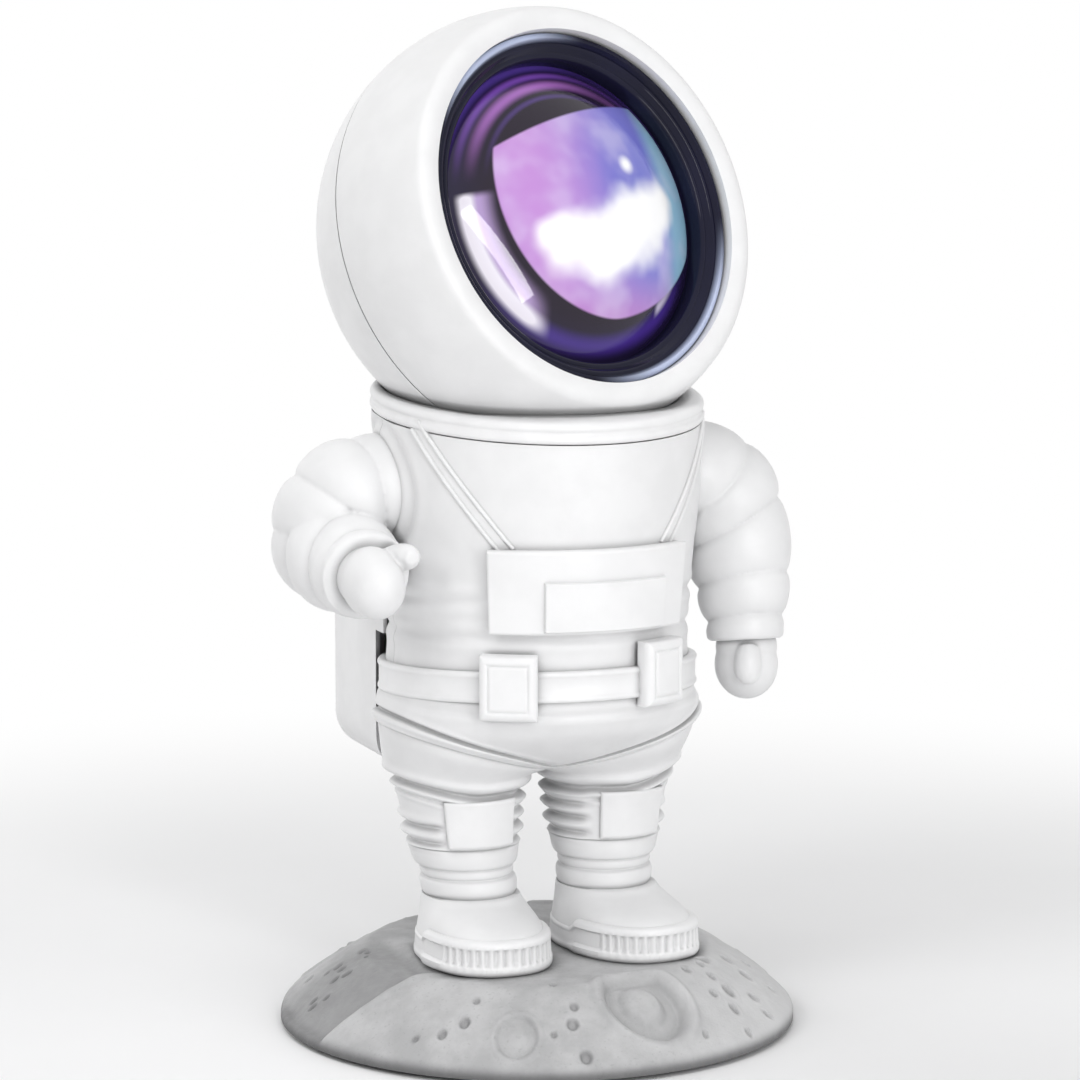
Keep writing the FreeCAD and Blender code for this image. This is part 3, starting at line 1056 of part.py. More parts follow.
def cover(corners, screws):
    middle = "pack_z + pack_tall / 2"
    body = rounded_plate("cover_body", "2 * pack_half_width", "pack_tall", "pack_corner", "cover_depth",
                         y="cover_front", z=middle, turn=ALONG_Y)
    doc.recompute()
    pad = body.Tip
    rear = max(range(len(pad.Shape.Faces)), key=lambda index: pad.Shape.Faces[index].CenterOfMass.z)
    edge = body.newObject("PartDesign::Fillet", "cover_fillet")
    edge.Base = (pad, [f"Face{rear + 1}"])
    edge.setExpression("Radius", formula("cover_edge"))
    room = rounded_plate("cover_room", "2 * pack_half_width - 2 * pack_wall - 2 * cover_wall",
                         "pack_tall - 2 * pack_wall - 2 * cover_wall",
                         "pack_corner - pack_wall - cover_wall", "cover_depth - cover_wall",
                         y="cover_front", z=middle, turn=ALONG_Y)
    buttons = {"power": "pack_top - button_top", "star": "pack_top - button_top - button_pitch",
               "nebula": "pack_top - button_top - 2 * button_pitch"}
    through = {"y": "cover_front", "turn": ALONG_Y}
    holes = [rod(f"{name}_hole", "button_radius + slip_fit", "cover_depth * 2", z=z, **through)
             for name, z in buttons.items()]
    window = rounded_plate("inlet_hole", "inlet_width + 2 * inlet_window",
                           "inlet_thickness + 2 * inlet_window", "inlet_thickness / 2", "cover_depth * 2",
                           z="inlet_z", **through)
    spots = [(f"{sign}(board_width / 2 - boss_radius)", f"board_z {way} (board_height / 2 - boss_radius)")
             for _, sign in SIDES for way in "-+"]
    stand_length = "cover_inside - board_rear"
    standoffs = [rod(f"standoff_{index}", "boss_radius * 0.8", stand_length, x=x, y="board_rear", z=z,
                     turn=ALONG_Y) for index, (x, z) in enumerate(spots)]
    stand_holes = [rod(f"standoff_hole_{index}", "screw_radius", f"({stand_length}) * 0.8", x=x,
                       y="board_rear", z=z, turn=ALONG_Y) for index, (x, z) in enumerate(spots)]
    sinks = [rod(f"cover_sink_{index}", "screw_head_radius + slip_fit", "cover_depth", x=x,
                 y="cover_inside - screw_head_height", z=z, turn=ALONG_Y)
             for index, (x, z) in enumerate(corners)]
    pillars = [rod(f"cover_pillar_{index}", "boss_radius", "cover_depth - cover_wall", x=x, z=z, **through)
               for index, (x, z) in enumerate(corners)]
    shafts = [rod(f"cover_shaft_{index}", "screw_radius + slip_fit", "cover_depth", x=x, z=z, **through)
              for index, (x, z) in enumerate(corners)]
    tray = cut("cover_tray", body, room)
    node("backpack_cover", cut("cover_cut", fuse("cover_solid", tray, *standoffs, *pillars), window, *holes,
                               *stand_holes, *sinks, *shafts))
    for index, (x, z) in enumerate(corners):
        screws += screw(f"cover_screw_{index}", "cover_depth * 1.5", x=x,
                        y="cover_inside - screw_head_height", z=z, turn=AGAINST_Y)
    main_board(buttons, spots, screws)
    for name, z in buttons.items():
        push_button(name, z)


def main_board(buttons, spots, screws):
    plate = box("board_plate", "board_width", "board_thickness", "board_height",
                y="board_front + board_thickness / 2", z="board_z - board_height / 2")
    holes = [rod(f"board_hole_{index}", "screw_radius + slip_fit", "board_thickness", x=x, y="board_front",
                 z=z, turn=ALONG_Y) for index, (x, z) in enumerate(spots)]
    switches = []
    for name, z in buttons.items():
        switches.append(box(f"{name}_switch", "switch_width", "switch_depth", "switch_width",
                            y="board_rear + switch_depth / 2", z=f"{z} - switch_width / 2"))
        switches.append(rod(f"{name}_plunger", "plunger_radius", "plunger_depth", y="switch_top", z=z,
                            turn=ALONG_Y))
    node("main_board", fuse("main_board_solid", cut("main_board_cut", plate, *holes), *switches))
    for index, (x, z) in enumerate(spots):
        screws += screw(f"board_screw_{index}", "board_thickness + switch_depth / 2", x=x, y="board_front",
                        z=z, turn=ALONG_Y)
    node("backpack_screws", fuse("backpack_screw_set", *screws))
    shell = rounded_plate("inlet_shell", "inlet_width", "inlet_thickness",
                          "inlet_thickness / 2 - inlet_wall / 4", "pack_rear - board_rear",
                          y="board_rear", z="inlet_z", turn=ALONG_Y)
    mouth = rounded_plate("inlet_mouth_hole", "inlet_width - 2 * inlet_wall",
                          "inlet_thickness - 2 * inlet_wall",
                          "inlet_thickness / 2 - inlet_wall * 5 / 4", "inlet_mouth",
                          y="pack_rear - inlet_mouth", z="inlet_z", turn=ALONG_Y)
    tongue = box("inlet_tongue", "tongue_width", "inlet_mouth * 0.75", "tongue_thickness",
                 y="pack_rear - inlet_mouth + inlet_mouth * 0.375", z="inlet_z - tongue_thickness / 2")
    node("power_inlet", fuse("power_inlet_solid", cut("inlet_tube", shell, mouth), tongue))


def push_button(name, z):
    cap = rod(f"{name}_cap", "button_radius", "cover_wall + button_proud", y="cover_inside", z=z,
              turn=ALONG_Y)
    flange = rod(f"{name}_flange", "button_radius + button_flange", "button_flange_depth", z=z,
                 y="cover_inside - button_flange_depth", turn=ALONG_Y)
    stem = rod(f"{name}_stem", "button_stem_radius", "button_stem_length", y="button_foot", z=z,
               turn=ALONG_Y)
    node(f"{name}_button", fuse(f"{name}_button_solid", cap, flange, stem))


moon_base()
base_parts()
boots()
legs()
hips()
torso_form = torso()
harness(torso_form)
collar_ring()
neck()
helmet()
visor()
optics()
right_arm()
left_arm()
backpack(torso_form)
doc.recompute()

# Every object has to be sound before any piece is written
for item in doc.Objects:
    if "Invalid" in item.State or "Error" in item.State:
        raise RuntimeError(f"{item.Name} failed: {item.State}")
for item in NODES:
    if item.Shape.isNull() or not item.Shape.isValid() or not item.Shape.Solids:
        raise RuntimeError(f"{item.Label} has no sound solid")
os.makedirs("parts", exist_ok=True)
for item in NODES:
    item.Shape.exportStep(f"parts/{item.Label}.step")
print(len(NODES), "pieces written")
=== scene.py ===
"""Looks of the astronaut night light: folded suit, helmet, visor, moon base and finishes.

The scene is in metres. Sizes here are millimetres and degrees unless a name or comment says otherwise.
The figure faces -Y, and its right side is -X. An angle round the body is 0 in front and grows to its left.
"""

import json
import math

import bmesh
import bpy
import numpy as np
from mathutils import Matrix, Vector
from mathutils import noise as cloud


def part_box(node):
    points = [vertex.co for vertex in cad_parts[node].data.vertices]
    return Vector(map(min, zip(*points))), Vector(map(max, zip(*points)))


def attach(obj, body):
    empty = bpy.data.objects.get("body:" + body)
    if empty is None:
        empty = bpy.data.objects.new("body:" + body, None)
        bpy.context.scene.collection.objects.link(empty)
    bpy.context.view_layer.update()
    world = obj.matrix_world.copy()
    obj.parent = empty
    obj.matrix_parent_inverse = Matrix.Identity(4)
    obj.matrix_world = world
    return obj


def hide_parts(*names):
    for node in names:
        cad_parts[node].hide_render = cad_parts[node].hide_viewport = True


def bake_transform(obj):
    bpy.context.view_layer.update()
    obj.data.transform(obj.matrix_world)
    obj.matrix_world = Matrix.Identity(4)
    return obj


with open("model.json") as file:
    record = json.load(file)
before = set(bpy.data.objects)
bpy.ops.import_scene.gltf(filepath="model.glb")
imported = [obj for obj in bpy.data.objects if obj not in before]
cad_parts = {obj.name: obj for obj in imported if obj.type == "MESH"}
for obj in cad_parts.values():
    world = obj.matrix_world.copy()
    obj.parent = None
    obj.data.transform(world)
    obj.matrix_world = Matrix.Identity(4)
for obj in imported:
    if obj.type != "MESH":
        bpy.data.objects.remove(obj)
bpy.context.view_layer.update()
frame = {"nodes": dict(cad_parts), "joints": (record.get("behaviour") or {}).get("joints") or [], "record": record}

MM = 0.001
JOINTS = {joint["name"]: joint for joint in frame["joints"]}
SIDES = (("right", -1), ("left", 1))


def top_of(node):
    """The level of a node's top."""
    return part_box(node)[1].z / MM


def foot_of(node):
    """The level of a node's foot."""
    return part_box(node)[0].z / MM


# Levels and places read from the frame
PLATEAU = foot_of("right_boot_sole")
ANKLE = top_of("right_boot")
WAIST = foot_of("torso_front_shell")
BASE_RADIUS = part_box("moon_base")[1].x / MM
BASE_FOOT = foot_of("moon_base")
SHOULDER = Vector(JOINTS["left_shoulder"]["pos_m"]) / MM
HELMET = Vector(JOINTS["head_tilt"]["pos_m"])
HELMET_RADIUS = top_of("helmet_front_shell") - HELMET.z / MM
HEAD_SIDE = -Vector(JOINTS["head_tilt"]["axis"])
HEAD_OUT = Vector(JOINTS["effect_wheel_turn"]["axis"])
HEAD_UP = HEAD_OUT.cross(HEAD_SIDE)
HEAD_FRAME = Matrix((HEAD_SIDE, HEAD_UP, HEAD_OUT)).transposed().to_4x4()
HEAD_FRAME.translation = HELMET


# Curves and folds
def curve(*points):
    """A smooth function through (place, value) points."""
    places, values = np.array(points, float).T
    slopes = np.gradient(values, places)

    def value(place):
        place = np.clip(place, places[0], places[-1])
        index = np.clip(np.searchsorted(places, place) - 1, 0, len(places) - 2)
        span = places[index + 1] - places[index]
        t = (place - places[index]) / span
        start = (1 + 2 * t) * (1 - t) ** 2 * values[index] + t * (1 - t) ** 2 * span * slopes[index]
        end = t ** 2 * (3 - 2 * t) * values[index + 1] - t ** 2 * (1 - t) * span * slopes[index + 1]
        return start + end
    return value


def step(value, low, high):
    """0 below low, 1 above high, and smooth between."""
    t = np.clip((value - low) / (high - low), 0, 1)
    return t * t * (3 - 2 * t)


def bell(value, middle, width):
    """1 at the middle, falling smoothly to nothing a few widths away."""
    return np.exp(-((value - middle) / width) ** 2)


def crease(distance, width, depth):
    """A fold line: a narrow valley with swollen banks, at a distance from the line."""
    d = np.abs(distance) / width
    return depth * (0.45 * bell(d, 1.5, 0.8) - np.exp(-(1.5 * d) ** 2))


def ridge(distance, width, height):
    """A round cord of piping along a line."""
    return height * np.sqrt(np.clip(1 - (distance / width) ** 2, 0, 1))


def rounded(edge, radius):
    """A rounded edge's height share at a distance from it."""
    return np.sqrt(np.clip(1 - (1 - np.clip(edge / radius, 0, 1)) ** 2, 0, 1))


def puffs(place, grooves, depth):
    """Round rolls between grooves: 0 on their crowns, and minus the depth in the grooves."""
    swell = 0 * place
    for low, high in zip(grooves, grooves[1:]):
        t = np.clip((place - low) / (high - low), 0, 1)
        swell = np.where((place >= low) & (place < high), (4 * t * (1 - t)) ** 0.45 - 1, swell)
    return depth * swell


def full_turn(count, start=0.0):
    """Even angles once round."""
    return np.linspace(start, start + 2 * np.pi, count, endpoint=False)


def around(angle, radius, z, middle=(0, 0)):
    """Points round an upright axis, which is the figure's own unless its place is given."""
    x = middle[0] + radius * np.sin(angle)
    y = middle[1] - radius * np.cos(angle)
    return np.stack(np.broadcast_arrays(x, y, z), -1)


def run_along(points):
    """The length of a path up to each of its points."""
    return np.concatenate([[0], np.cumsum(np.linalg.norm(np.diff(points, axis=0), axis=1))])


def edge_places(count):
    """Places from -1 to 1, closer together towards both ends."""
    return np.sin(np.linspace(-1, 1, count) * np.pi / 2)


def spread_places(low, high, lines, fine, count):
    """Even places from low to high, with more of them near both ends and near some lines."""
    places = list(np.linspace(low, high, count))
    for line in (low, high, *lines):
        places += list(line + fine * np.linspace(-1.2, 1.2, 17))
    return np.unique(np.clip(np.round(places, 5), low, high))


def inside_edge(angle, level, middle, half, reach, low, high):
    """How far inside the edge of a patch a point lies; a reach turns angles into lengths."""
    return np.minimum((half - np.abs(angle - middle)) * reach, np.minimum(level - low, high - level))


# Meshes, from forms: points in millimetres, and faces
def mesh_of(name, form):
    """A mesh with doubled points joined and all faces turned outwards."""
    verts, faces = form
    mesh = bpy.data.meshes.new(name)
    mesh.from_pydata((np.asarray(verts, float) * MM).tolist(), [], faces)
    work = bmesh.new()
    work.from_mesh(mesh)
    bmesh.ops.remove_doubles(work, verts=work.verts, dist=1e-7)
    bmesh.ops.recalc_face_normals(work, faces=work.faces)
    work.to_mesh(mesh)
    work.free()
    return mesh


def placed(name, data):
    """A new object in the scene."""
    item = bpy.data.objects.new(name, data)
    bpy.context.scene.collection.objects.link(item)
    return item


def piece(name, form, slot, replaced, body="body", place=None, sharp=50):
    """One visible piece that rides on a body in place of a node."""
    dress(placed(name, mesh_of(name, form)), slot, replaced, body, place, sharp)


def dress(item, slot, replaced, body, place=None, sharp=50):
    """Finish an object and tie it to the frame."""
    mesh = item.data
    mesh.polygons.foreach_set("use_smooth", [True] * len(mesh.polygons))
    mesh.set_sharp_from_angle(angle=math.radians(sharp))
    mesh.materials.clear()
    mesh.materials.append(LOOKS[slot])
    if place:
        item.matrix_world = place
    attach(item, body)
    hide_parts(replaced)


def grid_faces(rows, cols, wrap_cols, wrap_rows=False):
    """Four-sided faces over a grid of points, which closes where it wraps."""
    faces = []
    for i in range(rows if wrap_rows else rows - 1):
        here = i * cols
        up = (i + 1) % rows * cols
        for j in range(cols if wrap_cols else cols - 1):
            over = (j + 1) % cols
            faces.append((here + j, here + over, up + over, up + j))
    return faces


def shell(outer, inner, wrap=True):
    """A closed wall between two grids of points, rows by columns."""
    rows, cols = np.shape(outer)[:2]
    loop = np.concatenate([outer, inner[::-1]], 0)
    faces = grid_faces(2 * rows, cols, wrap, True)
    if not wrap:
        for j in (0, cols - 1):
            for i in range(rows - 1):
                far = 2 * rows - 1 - i
                faces.append((i * cols + j, (i + 1) * cols + j, (far - 1) * cols + j, far * cols + j))
    return loop.reshape(-1, 3), faces


def column(rings):
    """A closed form through rings of points, its ends closed to a middle point."""
    rings = np.array(rings)
    rows, cols = rings.shape[:2]
    verts = np.concatenate([rings.reshape(-1, 3), [rings[0].mean(0), rings[-1].mean(0)]])
    faces = grid_faces(rows, cols, True)
    for j in range(cols):
        over = (j + 1) % cols
        faces.append((over, j, rows * cols))
        faces.append(((rows - 1) * cols + j, (rows - 1) * cols + over, rows * cols + 1))
    return verts, faces


def lathe(profile):
    """A closed outline of (radius, height) points turned about z."""
    segments = 256
    angle = full_turn(segments)
    radius, height = np.asarray(profile, float).T[:, :, None]
    rings = np.stack([radius * np.cos(angle), radius * np.sin(angle), height + 0 * angle], -1)
    return rings.reshape(-1, 3), grid_faces(len(profile), segments, True, True)


def arc(x, y, radius, start, end, count):
    """Points of an arc, angles in degrees."""
    turn = np.radians(np.linspace(start, end, count))
    return list(zip(x + radius * np.cos(turn), y + radius * np.sin(turn)))


def bend(start, corner, end, count):
    """Points after the first of a smooth bend that a corner draws towards itself."""
    t = np.linspace(0, 1, count)[1:, None]
    points = (1 - t) ** 2 * np.array(start) + 2 * t * (1 - t) * np.array(corner) + t ** 2 * np.array(end)
    return points.tolist()


def joined(forms):
    """Several forms as one."""
    verts, faces = [], []
    for points, sides in forms:
        faces += [tuple(len(verts) + index for index in side) for side in sides]
        verts += points.tolist()
    return verts, faces


def remeshed(name, forms, voxel, rounds):
    """One skin round several overlapping closed forms, smoothed some rounds."""
    parts = mesh_of(f"{name}_parts", joined(forms))
    source = placed(f"{name}_source", parts)
    skin = source.modifiers.new("skin", "REMESH")
    skin.mode = "VOXEL"
    skin.voxel_size = voxel * MM
    skin.use_smooth_shade = True
    soften = source.modifiers.new("soften", "SMOOTH")
    soften.factor = 0.5
    soften.iterations = rounds
    made = bpy.data.meshes.new_from_object(source.evaluated_get(bpy.context.evaluated_depsgraph_get()))
    made.name = name
    bpy.data.objects.remove(source)
    bpy.data.meshes.remove(parts)
    return placed(name, made)


# Finishes
class Wires:
    """A node tree, with helpers that wire it."""

    def __init__(self, tree):
        self.tree = tree

    def add(self, kind, *inputs, **settings):
        """A shader node with its first inputs set; settings that start with a capital are inputs too."""
        node = self.tree.nodes.new("ShaderNode" + kind)
        for target, value in zip(node.inputs, inputs):
            self.feed(target, value)
        for name, value in settings.items():
            if name[0].isupper():
                self.feed(node.inputs[name], value)
            else:
                setattr(node, name, value)
        return node

    def feed(self, target, value):
        """Link an input to a socket, or set it to a plain value."""
        if isinstance(value, bpy.types.NodeSocket):
            self.tree.links.new(value, target)
        else:
            target.default_value = value

    def maths(self, operation, first, second=0.0):
        """One operation on two values."""
        return self.add("Math", first, second, operation=operation).outputs[0]

    def times(self, product, *values):
        """The product of some values."""
        for value in values:
            product = self.maths("MULTIPLY", product, value)
        return product

    def seen_rays(self):
        """1 for rays that show the background: from the camera, and by gloss and glass."""
        rays = self.add("LightPath").outputs
        seen = self.maths("MAXIMUM", rays["Is Camera Ray"], rays["Is Glossy Ray"])
        return self.maths("MAXIMUM", seen, rays["Is Transmission Ray"])


class Look(Wires):
    """A material for a slot."""

    def __init__(self, slot, color, roughness, **settings):
        self.slot = slot
        self.material = bpy.data.materials.new(slot)
        self.material.use_nodes = True
        super().__init__(self.material.node_tree)
        self.shader = self.tree.nodes["Principled BSDF"]
        self.paint((*color, 1))
        self.shader.inputs["Roughness"].default_value = roughness
        for name, value in settings.items():
            socket = name.replace("_", " ").title().replace("Ior", "IOR")
            self.shader.inputs[socket].default_value = value
        self.place = self.add("TexCoord").outputs["Object"]

    def vector(self, operation, first, second, output="Vector"):
        """One operation on two vectors."""
        return self.add("VectorMath", first, second, operation=operation).outputs[output]

    def gap(self, x, y, place=None):
        """The distance, in metres, from a line along z through a point."""
        flat = self.vector("MULTIPLY", place or self.place, (1, 1, 0))
        return self.vector("DISTANCE", flat, (x * MM, y * MM, 0), "Value")

    def noise(self, size, detail=3.0, roughness=0.5, place=None):
        """Soft noise whose grains are about a size."""
        scale = 1 / (size * MM)
        return self.add("TexNoise", Vector=place or self.place, Scale=scale, Detail=detail,
                        Roughness=roughness).outputs["Fac"]

    def span(self, value, low, high, start=0.0, end=1.0):
        """A value's range, smoothly mapped to another."""
        return self.add("MapRange", value, low, high, start, end, interpolation_type="SMOOTHSTEP").outputs[0]

    def along(self, length, low, high, start=0.0, end=1.0):
        """The same for a length in metres and its range in millimetres."""
        return self.span(length, low * MM, high * MM, start, end)

    def below(self, length, low, high):
        """1 below a length, and 0 above a higher one."""
        return self.along(length, low, high, 1.0, 0.0)

    def spot(self, x, y, reach, soft, place=None):
        """1 round a point, with a soft edge at a reach from it, and 0 beyond."""
        return self.below(self.gap(x, y, place), reach - soft, reach + soft)

    def mix(self, share, first, second):
        """Two colours mixed by a share of the second."""
        node = self.add("Mix", share, data_type="RGBA")
        for target, value in ((node.inputs[6], first), (node.inputs[7], second)):
            self.feed(target, value if isinstance(value, bpy.types.NodeSocket) else (*value, 1))
        return node.outputs[2]

    def paint(self, color):
        """Set the surface's colour."""
        self.feed(self.shader.inputs["Base Color"], color)

    def uneven(self, signal, low, high):
        """Let the roughness wander between two values with a noise."""
        self.feed(self.shader.inputs["Roughness"], self.span(signal, 0.3, 0.7, low, high))

    def hollows(self, reach, low=0.4, high=0.9):
        """1 in narrow grooves and corners, and 0 on open surfaces."""
        node = self.add("AmbientOcclusion", samples=6, Distance=reach * MM)
        return self.span(node.outputs["AO"], low, high, 1.0, 0.0)

    def bump(self, height, depth):
        """Raise the surface by a height signal times a depth."""
        node = self.add("Bump", Distance=depth * MM, Height=height)
        normal = self.shader.inputs["Normal"]
        if normal.links:
            self.feed(node.inputs["Normal"], normal.links[0].from_socket)
        self.feed(normal, node.outputs["Normal"])


def darker(color, share):
    """A colour cut to a share of its brightness."""
    return tuple(share * value for value in color)


def moulded(slot, color, roughness, grain=0.25, depth=0.012, painted_groove_shade=0.0):
    """Moulded plastic: a faint orange peel, a fine grain, uneven gloss, and painted shade in its grooves and
    corners.
    """
    look = Look(slot, color, roughness)
    patches = look.span(look.noise(9, 4), 0.35, 0.65)
    paint = look.mix(patches, darker(color, 0.965), color)
    if painted_groove_shade:
        # Painted shade: ambient occlusion darkens grooves and corners towards a dark grey
        paint = look.mix(look.times(look.hollows(2.4), painted_groove_shade), paint, darker(color, 0.3))
    look.paint(paint)
    look.uneven(look.noise(3, 5), roughness - 0.05, roughness + 0.06)
    look.bump(look.noise(grain, 2), depth)
    look.bump(look.noise(4, 2), 0.05)
    return look


def metal(slot, color, roughness):
    """Plain metal with a fine drawn grain and dull patches."""
    look = Look(slot, color, roughness, metallic=1.0)
    drawn = look.add("Mapping", Vector=look.place, Scale=(1, 1, 14)).outputs["Vector"]
    grain = look.noise(1.2, 4, place=drawn)
    look.uneven(grain, roughness - 0.08, roughness + 0.1)
    look.paint(look.mix(look.noise(5, 3), darker(color, 0.85), color))
    look.bump(grain, 0.008)
    return look


def glass(slot, color):
    """Clear plastic with a slightly uneven surface."""
    look = Look(slot, color, 0.05, transmission_weight=1.0, ior=1.49)
    look.bump(look.noise(2.5, 3), 0.05)
    return look


def finishes():
    """One finish for each material slot of the record."""
    looks = (
        # The suit and trim get painted shade in their grooves and corners
        moulded("suit_white", (0.8, 0.8, 0.805), 0.42, painted_groove_shade=0.6),
        moulded("trim_white", (0.83, 0.83, 0.835), 0.38, painted_groove_shade=0.6),
        moulded("inner_plastic", (0.03, 0.03, 0.033), 0.5),
        moulded("pad_foam", (0.02, 0.02, 0.02), 0.85, grain=0.6, depth=0.1),
        moulded("button_grey", (0.52, 0.53, 0.55), 0.45),
        moulded("lead_jacket", (0.02, 0.02, 0.02), 0.55),
        moulded("board_green", (0.01, 0.1, 0.04), 0.35),
        metal("steel", (0.55, 0.55, 0.55), 0.32),
        metal("magnet", (0.68, 0.67, 0.64), 0.2),
        metal("aluminium", (0.72, 0.72, 0.73), 0.38),
        metal("brass", (0.75, 0.52, 0.2), 0.3),
        moon_finish(),
        bezel_finish(),
        lens_finish(),
        glass("clear_glass", (0.95, 0.97, 1.0)),
        glass("effect_glass", (0.6, 0.45, 0.85)),
    )
    return {look.slot: look.material for look in looks}


def moon_finish():
    """Matte grey, mottled, with dark specks, painted light on the figure's left, and painted shade on a facet, in
    hollows and along the foot.
    """
    look = Look("moon_grey", (0.46, 0.46, 0.465), 0.62)
    across, back, height = look.add("SeparateXYZ", look.place).outputs
    blotches = look.span(look.noise(11, 5, 0.6), 0.3, 0.7)
    color = look.mix(blotches, (0.4, 0.4, 0.405), (0.52, 0.52, 0.525))
    specks = look.span(look.noise(0.7, 2), 0.62, 0.72)
    color = look.mix(look.times(specks, 0.35), color, (0.28, 0.28, 0.285))
    # Painted light: paler ground on the figure's left; painted shade: a darker facet on its right
    color = look.mix(look.along(across, -5, 50, 0.0, 0.75), color, (0.68, 0.68, 0.685))
    edge = FACET_EDGE + FACET_SLANT * FACET_CORNER
    facet = look.times(look.along(look.maths("ADD", back, look.times(across, FACET_SLANT)), edge, edge + 2),
                       look.below(across, FACET_SIDE - 5, FACET_SIDE - 1),
                       look.below(back, FACET_REAR - FACET_FADE, FACET_REAR))
    color = look.mix(look.times(facet, 0.7), color, (0.24, 0.24, 0.243))
    # Painted shade: ambient occlusion darkens craters, pits and other hollows
    color = look.mix(look.times(look.hollows(4.5, 0.5, 0.96), 0.8), color, (0.12, 0.12, 0.122))
    # Painted shade along the foot, darker towards the bottom
    look.paint(look.mix(look.times(look.below(height, 1.2, 4.5), 0.8), color, (0.09, 0.09, 0.092)))
    look.uneven(look.noise(2, 4), 0.52, 0.72)
    look.bump(look.noise(0.5, 4, 0.6), 0.09)
    look.bump(look.noise(2.2, 3), 0.16)
    return look


# Middle of each painted reflection on the visor's outer bead, and where it starts and ends to fade
PAINTED_REFLECTIONS = ((-16, 36, 8, 26), (24, -31, 12, 32))
PAINTED_REFLECTION_TINT = (0.5, 0.56, 0.74)


def bezel_finish():
    """Polished blue-black, with a painted pale blue reflection on two stretches of the outer bead."""
    look = Look("visor_black", (0.006, 0.006, 0.016), 0.08, specular_ior_level=0.12, coat_weight=0.12,
                coat_roughness=0.03)
    look.uneven(look.noise(4, 3), 0.05, 0.11)
    color = look.mix(look.noise(20, 2), (0.004, 0.004, 0.01), (0.012, 0.012, 0.035))
    bead = look.along(look.gap(0, 0), VISOR_RADIUS - 2.4, VISOR_RADIUS - 1.2)
    for x, y, near, far in PAINTED_REFLECTIONS:
        # Painted reflection: pale blue crescents on the outer bead
        color = look.mix(look.times(look.below(look.gap(x, y), near, far), bead), color, PAINTED_REFLECTION_TINT)
    look.paint(color)
    return look


# Centre and radius of the circles whose arcs bound the visor's window, in the lens's own frame
WINDOW_ARCS = ((28, -101, 125), (0.8, 14.0, 39.4))
WINDOW_LEFT = (5.6, 3.3, 28.6)
WINDOW_SOFT = 0.35
LILAC = (0.5, 0.25, 0.62)
PINK = (0.52, 0.24, 0.6)
BLUE_VIOLET = (0.2, 0.2, 0.62)
DEEP_BLUE = (0.11, 0.13, 0.55)
CYAN = (0.32, 0.62, 0.72)
PALE = (0.74, 0.68, 0.86)
WHITE = (0.97, 0.97, 0.98)
# How far the noise moves the cloud's edges
DRIFT = 12
# Places in the lens's own frame, with a reach: a deep blue spot, and white cloud
BLUE_SPOT = (12, 6, 11)
CLOUDS = ((-11, -9, 5.5), (-3, -8, 6.5), (4, -9.5, 7.5), (10, -5, 7.5), (16, -1, 6.5), (20, 1, 5.0))
# Place, reach and soft edge of a small white spot
STAR = (11.9, 8.6, 1.6, 1.3)


def lens_finish():
    """A dark coated dome with a bulging, rounded window of coloured cloud, drawn in the lens's own frame."""
    look = Look("visor_coat", (0.02, 0.01, 0.04), 0.04, specular_ior_level=0.1, coat_weight=0.6,
                coat_roughness=0.02)
    across, up, _ = look.add("SeparateXYZ", look.place).outputs
    window = lens_window(look, across)
    look.paint(look.mix(window, lens_surround(look, across, up), lens_cloud(look, across, up)))
    look.uneven(look.noise(6, 3), 0.03, 0.06)
    return look


def lens_window(look, across):
    """1 inside the window. Its edges are arcs of circles; the left one ends where the others take over."""
    window = look.spot(0, 0, LENS_RADIUS - 0.8, 0.3)
    for x, y, radius in WINDOW_ARCS:
        window = look.times(window, look.spot(x, y, radius, WINDOW_SOFT))
    x, y, radius = WINDOW_LEFT
    beyond = look.along(across, x, x + 1)
    return look.times(window, look.maths("MAXIMUM", look.spot(x, y, radius, WINDOW_SOFT), beyond))


def lens_cloud(look, across, up):
    """The window's colours: lilac to blue, pink below, cyan at one side, and white cloud."""
    warp = look.add("TexNoise", Vector=look.place, Scale=1 / (14 * MM)).outputs["Color"]
    moved = look.vector("ADD", look.place, look.vector("MULTIPLY", warp, [DRIFT * MM] * 3))

    def drifting(x, y, reach, soft):
        """A spot with wandering edges; the noise moves it by half the drift on average."""
        return look.spot(x + DRIFT / 2, y + DRIFT / 2, reach, soft, moved)

    color = look.mix(look.along(across, -16, 18), LILAC, BLUE_VIOLET)
    color = look.mix(look.along(up, -26, -14, 0.85, 0.0), color, PINK)
    color = look.mix(look.times(drifting(*BLUE_SPOT, 9), 0.7), color, DEEP_BLUE)
    color = look.mix(look.along(across, 19, 27, 0.0, 0.75), color, CYAN)
    veil = look.span(look.noise(12, 2), 0.4, 0.7)
    color = look.mix(look.times(veil, 0.35), color, PALE)
    for x, y, reach in CLOUDS:
        color = look.mix(drifting(x, y, reach, reach * 0.55), color, WHITE)
    return look.mix(look.spot(*STAR), color, WHITE)


